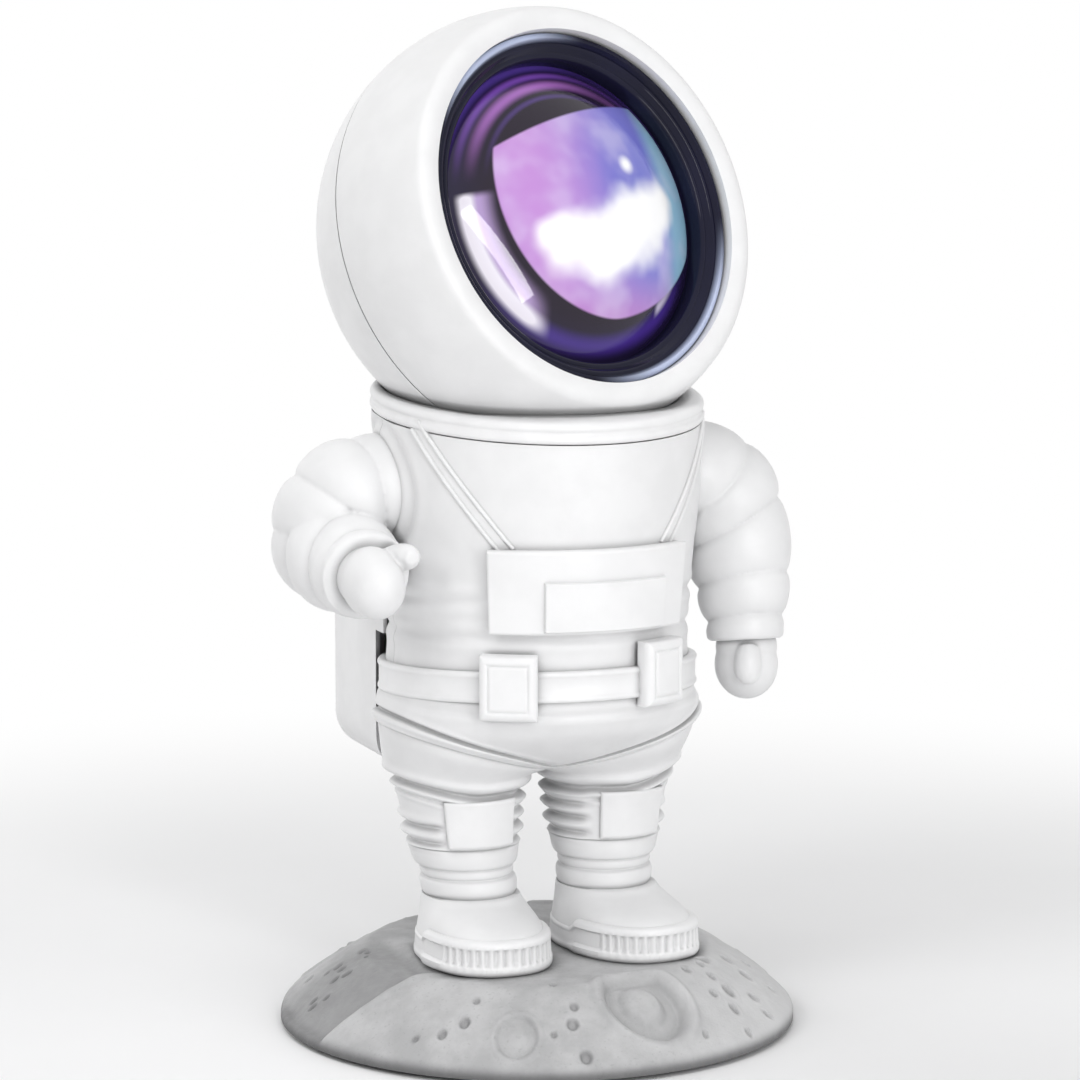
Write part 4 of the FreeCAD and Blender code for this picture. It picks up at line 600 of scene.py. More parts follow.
def lens_surround(look, across, up):
    """The coating outside the window: violet and magenta arcs on a dark ground, a painted reflection of a light
    strip on its lower left, and a painted glint on its lower right.
    """
    radius = look.gap(0, 0)
    color = look.mix(look.along(radius, 24, 34), (0.012, 0.006, 0.018), (0.016, 0.01, 0.045))
    crown = look.times(look.along(up, 6, 26), look.along(across, -6, 14, 1.0, 0.25))
    lower = look.below(up, -26, -12)
    painted_streak = look.times(look.below(across, -20, -13), look.below(up, 3, 5))
    corner = look.times(look.along(across, 16, 18), look.below(across, 25, 26), lower)
    arcs = (
        # radius, half width, part of the lens, strength, colour
        (33.6, 1.6, crown, 0.9, (0.12, 0.06, 0.42)),
        (31.2, 1.3, crown, 0.9, (0.22, 0.08, 0.5)),
        (28.6, 1.9, crown, 0.9, (0.42, 0.16, 0.56)),
        (25.6, 0.9, crown, 0.6, (0.1, 0.05, 0.26)),
        (30.5, 3.0, lower, 0.8, (0.07, 0.03, 0.3)),
        # Painted reflection of a light strip: lilac round a white core; the strip lamp's own reflection falls on
        # it as well
        (27.4, 4.2, painted_streak, 0.9, (0.5, 0.36, 0.66)),
        (29.6, 2.4, painted_streak, 1.6, (0.9, 0.86, 0.95)),
        # Painted glint: a pale bar at the lower right of the window
        (28.8, 1.6, corner, 0.9, PALE),
    )
    for reach, half, part, strength, tint in arcs:
        offset = look.maths("ABSOLUTE", look.maths("SUBTRACT", radius, reach * MM))
        color = look.mix(look.times(look.below(offset, 0, half), part, strength), color, tint)
    return color


# Moon base
DOME_RADIUS = 85.0
BASE_WALL = 3.0
RIM_HEIGHT = 2.6
CRATERS = (
    # across, back, radius, depth
    (8.6, -44.2, 9.8, 2.5), (-22.0, -46.6, 4.8, 0.8), (44, 14, 8, 1.4), (20, 46, 10, 1.7), (-20, 46, 6, 1.0),
    (-40, 32, 5, 0.8), (52, -3, 3.2, 0.6), (0, 53, 3.6, 0.6), (38, 36, 4.5, 0.8),
)
PITS = (
    # across, back, radius
    (-41, -35, 1.0), (-36, -38, 1.3), (-31, -38.5, 1.5), (-27, -35, 1.0), (-9.7, -48, 1.6), (-8, -44.3, 1.2),
    (-14.4, -49, 0.9), (-9.4, -55.2, 1.6), (-10, -37, 1.0), (23, -33, 1.3), (30, -26, 1.7), (28, -29, 1.1),
    (38, -21, 1.6), (29, -33, 1.2), (27, -39, 1.2), (32, -36, 1.8), (41, -25, 1.7), (39, -34, 1.4),
    (31, -41.5, 1.4), (40.5, -38, 1.2), (32, -47, 1.1), (45, -16, 1.3), (48, -24, 1.1), (20, -51, 0.9),
)
STRAY_PITS = 60
# A smooth facet on the figure's right: its front edge at a corner, that edge's slant, its side and its rear
FACET_EDGE = -17.0
FACET_CORNER = -45
FACET_SLANT = 0.1
FACET_SIDE = -28
FACET_REAR = 26
FACET_FADE = 18.0


def moon_heights(x, y):
    """How far the moon's skin stands off the plain dome."""
    rise = np.zeros_like(x)
    for across, back, radius, depth in CRATERS:
        d = np.hypot(x - across, y - back) / radius
        rise += -depth * step(1 - d, 0.0, 0.2) + 0.45 * depth * bell(d, 1.1, 0.12)
        # A wide crater has a raised middle
        rise += 0.7 * depth * step(radius, 3.0, 8.0) * step(0.6 - d, 0.0, 0.3)
    scatter = np.random.default_rng(4)
    for _ in range(STRAY_PITS):
        reach = scatter.uniform(38, 57)
        turn = scatter.uniform(0.1, math.pi)
        radius = scatter.uniform(0.6, 1.4)
        rise += pit(x - reach * math.cos(turn), y - reach * math.sin(turn), radius)
    for across, back, radius in PITS:
        rise += pit(x - across, y - back, radius)
    # The facet, with a sharp edge towards the front
    inside = y - FACET_EDGE + FACET_SLANT * (x - FACET_CORNER)
    beyond = step(FACET_SIDE - x, 0.0, 5.0)
    rise -= 1.5 * step(inside, 0.0, 2.2) * step(FACET_REAR - y, 0.0, FACET_FADE) * beyond
    rise += 0.5 * bell(inside, -0.6, 1.1) * beyond
    return rise


def pit(x, y, radius):
    """A small round hole with a faint rim."""
    d = np.hypot(x, y) / radius
    return radius * (0.1 * bell(d, 1.2, 0.25) - 0.62 * step(1 - d, 0.0, 0.6))


def ground(x, y):
    """Uneven ground: a wide noise and a fine one."""
    return cloud.noise(Vector((x, y, 3)) / 14) * 0.45 + cloud.noise(Vector((x, y, 9)) / 4) * 0.16


def moon_profile(centre):
    """The plain dome from its top to its foot: the run along it, and its radius, level and slope there."""
    flat_edge = math.sqrt(DOME_RADIUS ** 2 - (PLATEAU - centre) ** 2)
    low = math.degrees(math.acos(BASE_RADIUS / DOME_RADIUS))
    high = math.degrees(math.acos(flat_edge / DOME_RADIUS))
    path = np.array([(0, PLATEAU), (flat_edge - 1, PLATEAU), *arc(0, centre, DOME_RADIUS, high, low, 60),
                     (BASE_RADIUS, BASE_FOOT)])
    run = run_along(path)
    fine = np.linspace(0, run[-1], 1200)
    # A moving average rounds the plateau's edge and the rim
    window = 41
    padded = [np.pad(np.interp(fine, run, side), window // 2, "edge") for side in path.T]
    radius, level = (np.convolve(side, np.ones(window) / window, "valid") for side in padded)
    radius[0] = 0
    return fine, radius, level, np.arctan2(np.gradient(level), np.gradient(radius))


def disc_grid(count):
    """A square grid folded onto a disc, which keeps its cells even: reach from 0 to 1, and turn."""
    a, b = np.meshgrid(np.linspace(-1, 1, count), np.linspace(-1, 1, count))
    wide = np.abs(a) > np.abs(b)
    reach = np.where(wide, a, b)
    turn_wide = np.pi / 4 * b / np.where(a == 0, 1, a)
    turn_tall = np.pi / 2 - np.pi / 4 * a / np.where(b == 0, 1, b)
    turn = np.where(wide, turn_wide, turn_tall)
    return np.abs(reach), np.where(reach < 0, turn + np.pi, turn)


def moon_base():
    """The hollow moon, with its craters, pits, facet and rough ground."""
    centre = BASE_FOOT + RIM_HEIGHT - math.sqrt(DOME_RADIUS ** 2 - BASE_RADIUS ** 2)
    run, *sides = moon_profile(centre)
    count = 290
    reach, turn = disc_grid(count)
    r, z, tilt = (np.interp(reach * run[-1], run, side) for side in sides)
    x, y = r * np.cos(turn), r * np.sin(turn)
    rough = np.array([ground(*spot) for spot in zip(x.ravel(), y.ravel())]).reshape(x.shape)
    # No relief at the rim or under the boots
    steady = step(z, BASE_FOOT + 1, BASE_FOOT + 4) * step(np.hypot(x, y + 6), 24, 33)
    rise = (moon_heights(x, y) + rough) * steady
    x = x - rise * np.sin(tilt) * np.cos(turn)
    y = y - rise * np.sin(tilt) * np.sin(turn)
    z = z + rise * np.cos(tilt)
    verts = np.stack([x, y, z], -1).reshape(-1, 3)

    # The foot, the opening for the base plate, and the hollow
    index = np.arange(count * count).reshape(count, count)
    edge = np.concatenate([index[0, :-1], index[:-1, -1], index[-1, :0:-1], index[:0:-1, 0]])
    inner = DOME_RADIUS - BASE_WALL
    mouth = math.sqrt(inner ** 2 - (top_of("base_plate") - centre) ** 2)
    low = math.degrees(math.acos(mouth / inner))
    high = math.degrees(math.asin((PLATEAU - BASE_WALL - centre) / inner))
    hollow = [(mouth, BASE_FOOT), *arc(0, centre, inner, low, high, 10), (0, PLATEAU - BASE_WALL)]
    radius, level = np.array(hollow).T[:, :, None]
    rings = around(np.arctan2(verts[edge, 0], -verts[edge, 1]), radius, level).reshape(-1, 3)
    loops = [*edge.tolist(), *range(len(verts), len(verts) + len(rings))]
    faces = grid_faces(count, count, False)
    faces += [tuple(loops[spot] for spot in face) for face in grid_faces(len(hollow) + 1, len(edge), True)]
    piece("moon_surface", (np.concatenate([verts, rings]), faces), "moon_grey", "moon_base")


# Boots
LEG_X = 16.3
TOE_REACH = 28.0
HEEL_REACH = 14.0
FOOT_HALF = 14.8
SPLAY = {"right": 0.0, "left": 12.0}
RIB_PITCH = 2.1
SOLE_SLICES = (
    # height, growth of the outline, share of the ribs' depth
    (0, -0.8, 0), (0.2, -0.3, 0), (0.7, 0, 0), (1.9, 0, 0), (2.2, -0.1, 0.4), (2.5, -0.2, 1), (3.5, -0.25, 1),
    (4.6, -0.3, 1), (5.7, -0.4, 1), (6.0, -0.4, 0.4), (6.3, -0.3, 0), (7.1, -0.4, 0), (7.6, -0.8, 0),
    (7.9, -1.6, 0), (7.9, -3.0, 0),
)


def boot(side, sign):
    """A boot upper, and a sole whose toe has a ribbed bumper, as level slices."""
    axis = np.array([sign * LEG_X, 0.0])
    turn = full_turn(360)
    fore, beside = np.cos(turn), np.sin(turn)
    splay = math.radians(SPLAY[side])
    ahead = np.array([math.sin(splay), -math.cos(splay)])
    aside = np.array([math.cos(splay), math.sin(splay)])

    def outline(toe, heel, half):
        """A rounded foot: toe and heel reach from the leg's axis, and half the width."""
        long = (toe - heel) / 2 + (toe + heel) / 2 * np.sign(fore) * np.abs(fore) ** 0.88
        wide = half * (1 - 0.06 * step(-fore, 0.0, 1.0)) * np.sign(beside) * np.abs(beside) ** 0.84
        return axis + long[..., None] * ahead + wide[..., None] * aside

    edge = outline(TOE_REACH, HEEL_REACH, FOOT_HALF)
    bumper = step(fore, -0.05, 0.12)
    ribbed = step(fore, 0.42, 0.55) * (0.5 + 0.5 * np.cos(2 * np.pi * run_along(edge) / RIB_PITCH))
    outward = edge - axis - (TOE_REACH - HEEL_REACH) / 2 * ahead
    outward /= np.linalg.norm(outward, axis=1)[:, None]
    height, grow, ribs = np.array(SOLE_SLICES).T[:, :, None]
    level = PLATEAU + height * (0.72 + 0.28 * bumper)
    push = grow - 0.9 * (1 - bumper) - ribs * bumper * (0.75 - 0.75 * ribbed)
    sole = np.concatenate([edge + push[..., None] * outward, level[..., None]], -1)
    piece(f"{side}_boot_tread", column(sole), "trim_white", f"{side}_boot_sole")

    rise = ANKLE - PLATEAU
    toe = curve((0, 26.4), (6, 26.4), (8, 25.4), (9.5, 22.6), (11, 18.0), (12.4, 14.0), (rise, 12.2))
    heel = curve((0, 12.6), (6, 12.5), (9, 12.0), (rise, 11.0))
    half = curve((0, 13.2), (6, 13.2), (9, 12.5), (11, 11.7), (rise, 10.8))
    z = np.linspace(0.4, rise, 48)[:, None]
    level = PLATEAU + z + 0 * turn
    upper = np.concatenate([outline(toe(z), heel(z), half(z)), level[..., None]], -1)
    piece(f"{side}_boot_upper", column(upper), "suit_white", f"{side}_boot")


# Legs
LEG_BACK = curve((ANKLE, 0.0), (44, 2.4), (56, 3.0), (72, 2.0))
LEG_OUT = curve((ANKLE, 0.0), (44, 0.9), (56, 1.4), (72, 1.4))
LEG_RADIUS = curve((ANKLE - 1, 10.6), (34, 11.2), (38, 11.9), (44, 13.0), (50, 13.7), (54, 14.5), (58, 16.0),
                   (72, 16.5))
LEG_GAP = 0.3
RING_GROOVES = (30.2, 34.5, 37.1, 41.9)
KNEE_FOLD = 54.0
# Level, width and depth of the shorter creases, by the part of the leg they are on
OUTER_CREASES = ((46.8, 1.1, 1.1), (43.2, 1.0, 0.9))
INNER_CREASES = ((53.0, 1.1, 1.0), (50.0, 1.1, 1.0), (46.8, 1.1, 1.0), (43.3, 1.1, 1.0))
REAR_CREASES = ((50.0, 1.2, 0.9), (46.2, 1.2, 0.9))
THIGH = 57.0
# Slanted seams between legs and hips, which rise from the crotch
CROTCH = 58.6
HIP_SLOPE = math.tan(math.radians(17))
SEAM_ROUNDS = 60
HIP_HALF_WIDTH = curve((56, 27.0), (60, 31.6), (64, 34.6), (68, 36.3), (72, 36.8), (WAIST, 34.4))
HIP_HALF_DEPTH = curve((58, 1.0), (58.6, 6.0), (60, 12.1), (62, 17.7), (64, 21.8), (66, 25.3), (68, 28.3),
                       (70, 30.8), (73, 33.0), (76, 34.0), (WAIST, 34.3))
SUIT_WALL = 2.4


def leg_radius(turn, z, sign):
    """A leg's skin round its own axis, with its rolls and folds."""
    outside = np.sin(turn) * sign
    fold = KNEE_FOLD + 3.3 * np.clip(outside, 0, 1) ** 1.3
    radius = LEG_RADIUS(z) + puffs(z, RING_GROOVES, 0.85)
    radius = radius - 0.9 * step(z - RING_GROOVES[1], -0.3, 0.3) * step(RING_GROOVES[2] - z, -0.3, 0.3)
    radius = radius + crease(z - fold, 1.3, 1.3) + 0.5 * step(z - fold, 0.0, 2.0)
    radius = radius + crease(z - fold + 2.6, 0.8, 0.6)
    parts = (
        (step(outside, 0.5, 0.75), OUTER_CREASES),
        (step(-outside, 0.5, 0.75), INNER_CREASES),
        (step(-np.cos(turn), 0.2, 0.6), REAR_CREASES),
    )
    for share, creases in parts:
        for level, width, depth in creases:
            radius = radius + share * crease(z - level, width, depth)
    return radius


def leg_place(z, sign):
    """The middle of a leg at a level."""
    return sign * (LEG_X + LEG_OUT(z)), LEG_BACK(z)


def hip_radius(angle, z):
    """The hips round the figure's axis: wide at the sides, and tucked in under the belly."""
    return 1 / np.hypot(np.sin(angle) / HIP_HALF_WIDTH(z), np.cos(angle) / HIP_HALF_DEPTH(z))


def leg_top(turn, sign):
    """A leg's top edge, which runs along the hips' outline and down the figure's middle."""
    across, back = np.sin(turn), -np.cos(turn)
    middle_x, middle_y = leg_place(THIGH + 8, sign)
    inward = -across * sign
    beyond = 99
    to_middle = np.where(inward > 0.05, (abs(middle_x) - LEG_GAP) / np.maximum(inward, 0.05), beyond)
    reach = np.full_like(turn, 14.0)
    for _ in range(SEAM_ROUNDS):
        z = CROTCH + np.abs(middle_x + reach * across) * HIP_SLOPE
        wide, deep = HIP_HALF_WIDTH(z) - 0.15, HIP_HALF_DEPTH(z) - 0.15
        # Where a line from the leg's middle meets the hips' ellipse
        square = (across / wide) ** 2 + (back / deep) ** 2
        linear = middle_x * across / wide ** 2 + middle_y * back / deep ** 2
        plain = (middle_x / wide) ** 2 + (middle_y / deep) ** 2 - 1
        outline = (np.sqrt(linear ** 2 - square * plain) - linear) / square
        reach = (reach + np.minimum(outline, to_middle)) / 2
    x = middle_x + reach * across
    return np.stack([x, middle_y + reach * back, CROTCH + np.abs(x) * HIP_SLOPE], -1)


def leg(side, sign):
    """A leg with its folds, from the boot to the slanted seam under the hips."""
    turn = full_turn(240)

    def rings(level):
        return around(turn, leg_radius(turn, level, sign), level, leg_place(level, sign))

    shin = rings(np.linspace(ANKLE - 0.6, THIGH, 170)[:, None])
    top = leg_top(turn, sign)
    share = np.linspace(0, 1, 40)[1:, None]
    level = THIGH + share * (top[:, 2] - THIGH)
    plain = rings(level)
    thigh = plain + step(share, 0.05, 1.0)[..., None] * (top - plain)
    thigh[..., 2] = level
    thigh[..., 0] = sign * np.maximum(sign * thigh[..., 0], LEG_GAP)
    # A tucked-in rim closes the seam from inside
    tuck, rise = 0.985, 1.8
    rim = thigh[-1:] * (tuck, tuck, 1) + (0, 0, rise)
    piece(f"{side}_trouser_leg", column(np.concatenate([shin, thigh, rim])), "suit_white", f"{side}_leg")


# Middle and half width of each knee pad round its leg, and its foot and top
KNEE_PADS = {"right": (math.radians(2), math.radians(35)), "left": (math.radians(8), math.radians(33))}
KNEE_LOW, KNEE_HIGH = 42.3, 53.2


def knee_pad(side, sign):
    """A raised pad with rounded edges over the knee."""
    middle, half = KNEE_PADS[side]

    def lift(angle, level):
        edge = inside_edge(angle, level, middle, half, LEG_RADIUS(level), KNEE_LOW, KNEE_HIGH)
        return 0.3 + 0.9 * rounded(edge, 0.8)

    places = edge_places(41)
    levels = KNEE_LOW + (KNEE_HIGH - KNEE_LOW) * (places + 1) / 2
    patch(f"{side}_knee_patch", middle + half * places, levels, lift, LEG_RADIUS, 2.2, f"{side}_knee_pad",
          lambda level: leg_place(level, sign))


# Hips and torso
def hips():
    """The hips, with a cord of piping and a groove along the leg openings."""
    angle = full_turn(400, -np.pi)
    beside = np.abs(np.sin(angle))
    edge = np.full_like(angle, CROTCH)
    for _ in range(SEAM_ROUNDS):
        edge = (edge + CROTCH + beside * hip_radius(angle, edge) * HIP_SLOPE) / 2
    z = edge + np.linspace(0, 1, 115)[:, None] ** 1.15 * (WAIST - edge)
    above = z - edge
    wide = 1.3 + 1.3 * step(beside, 0.05, 0.6)
    cord = rounded(above - 0.1, 0.7) * (1 - step(above, wide, wide + 0.5))
    piping = 0.9 * cord + crease(above - wide - 0.6, 0.8, 0.7)
    fold = crease(z - 76.5 + 1.2 * np.cos(angle), 1.2, 0.3)
    radius = hip_radius(angle, z)
    form = shell(around(angle, radius + piping + fold, z), around(angle, radius - SUIT_WALL, z))
    piece("hip_skin", form, "suit_white", "hip_shell")


TORSO_PLAIN = curve((76, 34.3), (81, 34.3), (86, 33.9), (92, 33.8), (100, 34.4), (110, 35.3), (125, 36.3),
                    (136, 36.8), (145, 36.8))
TORSO_TOP_RADIUS = 36.8
# Half the seam at the torso's sides, in radians
TORSO_SEAM = 0.002
# The collar's level on the figure's axis, and its slope down to the front
COLLAR = top_of("torso_rear_shell") - 2.9
COLLAR_SLOPE = math.tan(math.radians(6.3))


def torso_radius(angle, z):
    """The torso's skin: a soft barrel with folds at the waist and round the armholes."""
    plain = TORSO_PLAIN(z)
    beside = step(np.abs(angle), math.radians(34), math.radians(50))
    folds = beside * crease(z - 100.2 - 0.9 * np.cos(2 * angle), 1.6, 0.6)
    folds = folds + crease(z - 91.6 - 0.6 * np.cos(angle), 1.5, 0.5)
    armhole = np.hypot(-plain * np.cos(angle) - SHOULDER.y, z - SHOULDER.z)
    side = step(np.abs(np.sin(angle)), 0.6, 0.8)
    return plain + folds + side * crease(armhole - 14.5, 1.8, 0.6)


def collar_level(angle, radius):
    """The collar's slanted seat, lower in front."""
    return COLLAR - radius * np.cos(angle) * COLLAR_SLOPE


def torso():
    """The front and rear halves of the torso, with a fine seam at the sides."""
    quarter = np.pi / 2 - TORSO_SEAM
    for half, middle in (("front", 0.0), ("rear", math.pi)):
        angle = middle + np.linspace(-quarter, quarter, 241)
        angle = (angle + np.pi) % (2 * np.pi) - np.pi
        z = WAIST + np.linspace(0, 1, 150)[:, None] * (collar_level(angle, TORSO_TOP_RADIUS) - WAIST)
        radius = torso_radius(angle, z)
        form = shell(around(angle, radius, z), around(angle, radius - SUIT_WALL, z), False)
        piece(f"torso_{half}_skin", form, "suit_white", f"torso_{half}_shell")


def patch(name, angles, levels, lift, skin, sink, replaced, axis=lambda level: (0, 0)):
    """A raised patch of trim: its lift off a skin, and how far it is sunk into it."""
    angle, level = np.meshgrid(angles, levels)
    outer = around(angle, skin(level) + lift(angle, level), level, axis(level))
    inner = around(angle, skin(level) - sink, level, axis(level))
    piece(name, shell(outer, inner, False), "trim_white", replaced)


PACK_LOW, PACK_HIGH, PACK_HALF = 93.6, 112.0, math.radians(37)
PACK_THICK = 3.6
PACK_ROUND = 0.8
PANEL_LOW, PANEL_HIGH = 94.2, 105.2
PANEL_FROM, PANEL_TO = math.radians(-18), math.radians(25.5)


def chest_pack():
    """The chest pack and its raised panel."""
    reach = 37.0
    fine = 0.9

    def lift(angle, level):
        edge = inside_edge(angle, level, 0, PACK_HALF, reach, PACK_LOW, PACK_HIGH)
        panel = np.minimum(np.minimum(angle - PANEL_FROM, PANEL_TO - angle) * reach,
                           np.minimum(level - PANEL_LOW, PANEL_HIGH - level))
        return PACK_THICK - PACK_ROUND + PACK_ROUND * rounded(edge, PACK_ROUND) + step(panel, -0.15, 0.3)

    angles = spread_places(-PACK_HALF, PACK_HALF, (PANEL_FROM, PANEL_TO), fine / reach, 90)
    levels = spread_places(PACK_LOW, PACK_HIGH, (PANEL_LOW, PANEL_HIGH), fine, 50)
    patch("chest_box", angles, levels, lift, TORSO_PLAIN, 0.6, "chest_pack")


# Angle and level of each strap's ends, half its width, and the torso's radius there
STRAP_TOP = (math.radians(66), 138.0)
STRAP_FOOT = (math.radians(30.5), 111.2)
STRAP_HALF = 1.9
STRAP_REACH = 36.3


def harness():
    """Two shoulder straps, each a flat band with a cord of piping along both edges."""
    across = np.linspace(-1, 1, 41)
    lift = 0.1 + ridge(np.abs(across) - 0.74, 0.26, 0.55)
    share = np.linspace(0, 1, 70)[:, None]
    bands = []
    for _, sign in SIDES:
        start, end = (np.array([sign * turn, level]) for turn, level in (STRAP_TOP, STRAP_FOOT))
        run = (end - start) * (STRAP_REACH, 1)
        run /= np.linalg.norm(run)
        angle = start[0] + share * (end - start)[0] - across * STRAP_HALF * run[1] / STRAP_REACH
        level = start[1] + share * (end - start)[1] + across * STRAP_HALF * run[0]
        skin = TORSO_PLAIN(level)
        bands.append(shell(around(angle, skin + lift, level), around(angle, skin - 0.9, level), False))
    piece("harness_bands", joined(bands), "trim_white", "harness_straps")


BELT_HALF = 3.4
BELT_RADIUS = 34.7
BELT_DROP = 0.7
BELT_SWING = 35 * math.tan(math.radians(2.8))


def belt():
    """A slanted belt with a raised edge above and below."""
    angle = full_turn(360, -np.pi)
    # Distance from the belt's edge, and how far the belt stands out there
    rim = ((1.4, 1.0), (1.2, 1.15), (0.9, 1.3), (0.5, 1.3), (0.15, 1.05), (0, 0.6), (0, -0.4))
    half = [(0.0, 1.0)] + [(BELT_HALF - inset, out) for inset, out in rim]
    up, out = np.array([(-up, out) for up, out in half[:0:-1]] + half).T[:, :, None]
    level = WAIST + BELT_SWING * np.cos(angle) - BELT_DROP + up
    form = shell(around(angle, BELT_RADIUS + out, level), around(angle, BELT_RADIUS - 0.6, level))
    piece("waist_belt", form, "trim_white", "belt")


# Each pouch's middle angle, half angle, foot and top
POUCHES = {"right": (math.radians(-30), math.radians(9.8), 74.8, 89.2),
           "left": (math.radians(27), math.radians(9), 76.6, 91.0)}
POUCH_SKIN = 35.2
POUCH_ROUND = 1.6


def pouches():
    """Two belt pouches: rounded boxes with a pressed line inside their edge."""
    reach = 38.0
    for side, (middle, half, low, high) in POUCHES.items():
        angles = spread_places(middle - half, middle + half, (), POUCH_ROUND / reach, 60)
        levels = spread_places(low, high, (), POUCH_ROUND, 60)

        def lift(angle, level):
            edge = inside_edge(angle, level, middle, half, reach, low, high)
            return 2.3 + POUCH_ROUND * rounded(edge, POUCH_ROUND) - 0.3 * bell(edge, 2.2, 0.3)

        patch(f"{side}_pouch", angles, levels, lift, lambda level: POUCH_SKIN, 0.0, f"{side}_belt_pouch")


COLLAR_RADIUS = 37.4
COLLAR_INNER = 30.6
HELMET_ROOM = 0.35
COLLAR_SINK = 1.2


def collar():
    """A slanted band of two round ridges, whose mouth follows the helmet."""
    outside, seat = COLLAR_RADIUS, HELMET_RADIUS + HELMET_ROOM
    section = [(COLLAR_INNER, 0.3), (outside - 0.9, 0.15), *arc(outside - 1.2, 1.3, 1.2, -60, 45, 10),
               *arc(outside - 1.25, 3.7, 1.15, -45, 85, 10), (outside - 1.8, 4.95)]
    upper_ridge = 2
    angle = full_turn(360, -np.pi)

    def ball(radius):
        """The level of the helmet's seat at a distance from the axis."""
        return HELMET.z / MM - np.sqrt(seat ** 2 - radius ** 2)

    rings = []
    for radius, height in section:
        level = collar_level(angle, radius) + height
        if height > upper_ridge:
            level = np.minimum(level, ball(radius))
        elif not rings:
            level = np.minimum(level, ball(radius) - COLLAR_SINK)
        rings.append(around(angle, radius, level))
    top = rings[-1][:, 2]
    mouth = np.sqrt(seat ** 2 - (HELMET.z / MM - top + 0.15) ** 2)
    mouth = np.clip(mouth, outside - 6.8, outside - 2.0)
    for inset in np.linspace(0, 3.4, 7):
        rings.append(around(angle, mouth - inset, ball(mouth - inset)))
    faces = grid_faces(len(rings), len(angle), True, True)
    piece("collar_band", (np.reshape(rings, (-1, 3)), faces), "trim_white", "collar_ring")


# Lead in the neck
LEAD_RADIUS = 1.8
LEAD_FOOT = ((0, 41.5, 92.7), (0, 22, 92.7), (0, 2, 92.7), (0, 0, 97), (0, 0, 108), (0, 0, 128))
LEAD_HEAD = ((0, 0, 127), (0, 3.5, 134), (-4.75, 14.6, 157), (-5.4, 16.7, 167.2))


def lead(name, points):
    """A smooth length of the lead: a round tube along a curve through its points."""
    route = bpy.data.curves.new(name, "CURVE")
    route.dimensions = "3D"
    route.bevel_depth = LEAD_RADIUS * MM
    route.bevel_resolution = 5
    route.use_fill_caps = True
    spline = route.splines.new("NURBS")
    spline.points.add(len(points) - 1)
    for spot, point in zip(spline.points, points):
        spot.co = (*(Vector(point) * MM), 1)
    spline.order_u = 3
    spline.use_endpoint_u = True
    mesh = bpy.data.meshes.new_from_object(bpy.data.objects.new(f"{name}_route", route))
    mesh.materials.clear()
    mesh.materials.append(LOOKS["lead_jacket"])
    item = placed(name, mesh)
    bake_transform(item)
    return item


def neck_lead():
    """The lead from the main board up to the light board, in two lengths that meet in the swivel cup."""
    low = lead("lead_in_torso", LEAD_FOOT)
    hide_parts("neck_cable")
    lead("lead_in_head", LEAD_HEAD)


# Arms, in places from the shoulder
ROLL_DEPTH = 1.8


def sweep(shoulder, knots, rolls=None, rows=120):
    """A closed limb along a smooth path of (x, y, z, radius) knots, with folds by run and heading."""
    knots = np.array(knots, float) + (*shoulder, 0)
    path = [curve(*zip(range(len(knots)), knots[:, axis])) for axis in range(4)]
    t = np.linspace(0, len(knots) - 1, rows)
    centre = np.stack([path[axis](t) for axis in range(3)], -1)
    radius = path[3](t)
    run = run_along(centre)
    ahead = np.gradient(centre, axis=0)
    ahead /= np.linalg.norm(ahead, axis=1)[:, None]
    side = np.array([0.0, 1.0, 0.0]) if abs(ahead[0][1]) < 0.8 else np.array([0.0, 0.0, 1.0])
    turn = full_turn(120)
    rings = []
    for index in range(rows):
        side = side - ahead[index] * side.dot(ahead[index])
        side /= np.linalg.norm(side)
        other = np.cross(ahead[index], side)
        heading = np.cos(turn)[:, None] * side + np.sin(turn)[:, None] * other
        swell = rolls(run[index], heading) if rolls else 0 * turn
        rings.append(centre[index] + (radius[index] + swell)[:, None] * heading)
    return column(rings)


def ellipsoid(shoulder, centre, radii):
    """An upright ellipsoid."""
    v = np.linspace(0, np.pi, 40)[:, None]
    u = full_turn(48)
    points = np.stack([np.sin(v) * np.cos(u), np.sin(v) * np.sin(u), np.cos(v) + 0 * u], -1)
    return column(points * radii + (np.array(shoulder) + centre))


def slanted_rolls(grooves, slant, toward):
    """Rolls of a sleeve between grooves that slant towards a heading."""
    def rolls(run, heading):
        return puffs(run + slant * (heading @ np.array(toward)), grooves, ROLL_DEPTH)
    return rolls


def arm(side, sleeve, hand):
    """The skins of an arm: a sleeve and a mitten, each round several forms."""
    skins = (("sleeve_skin", "sleeve", sleeve, 0.4, 2), ("mitten", "glove", hand, 0.38, 6))
    for name, node, forms, voxel, rounds in skins:
        skin = remeshed(f"{side}_{name}", forms, voxel, rounds)
        dress(skin, "suit_white", f"{side}_{node}", f"{side}_arm", sharp=80)


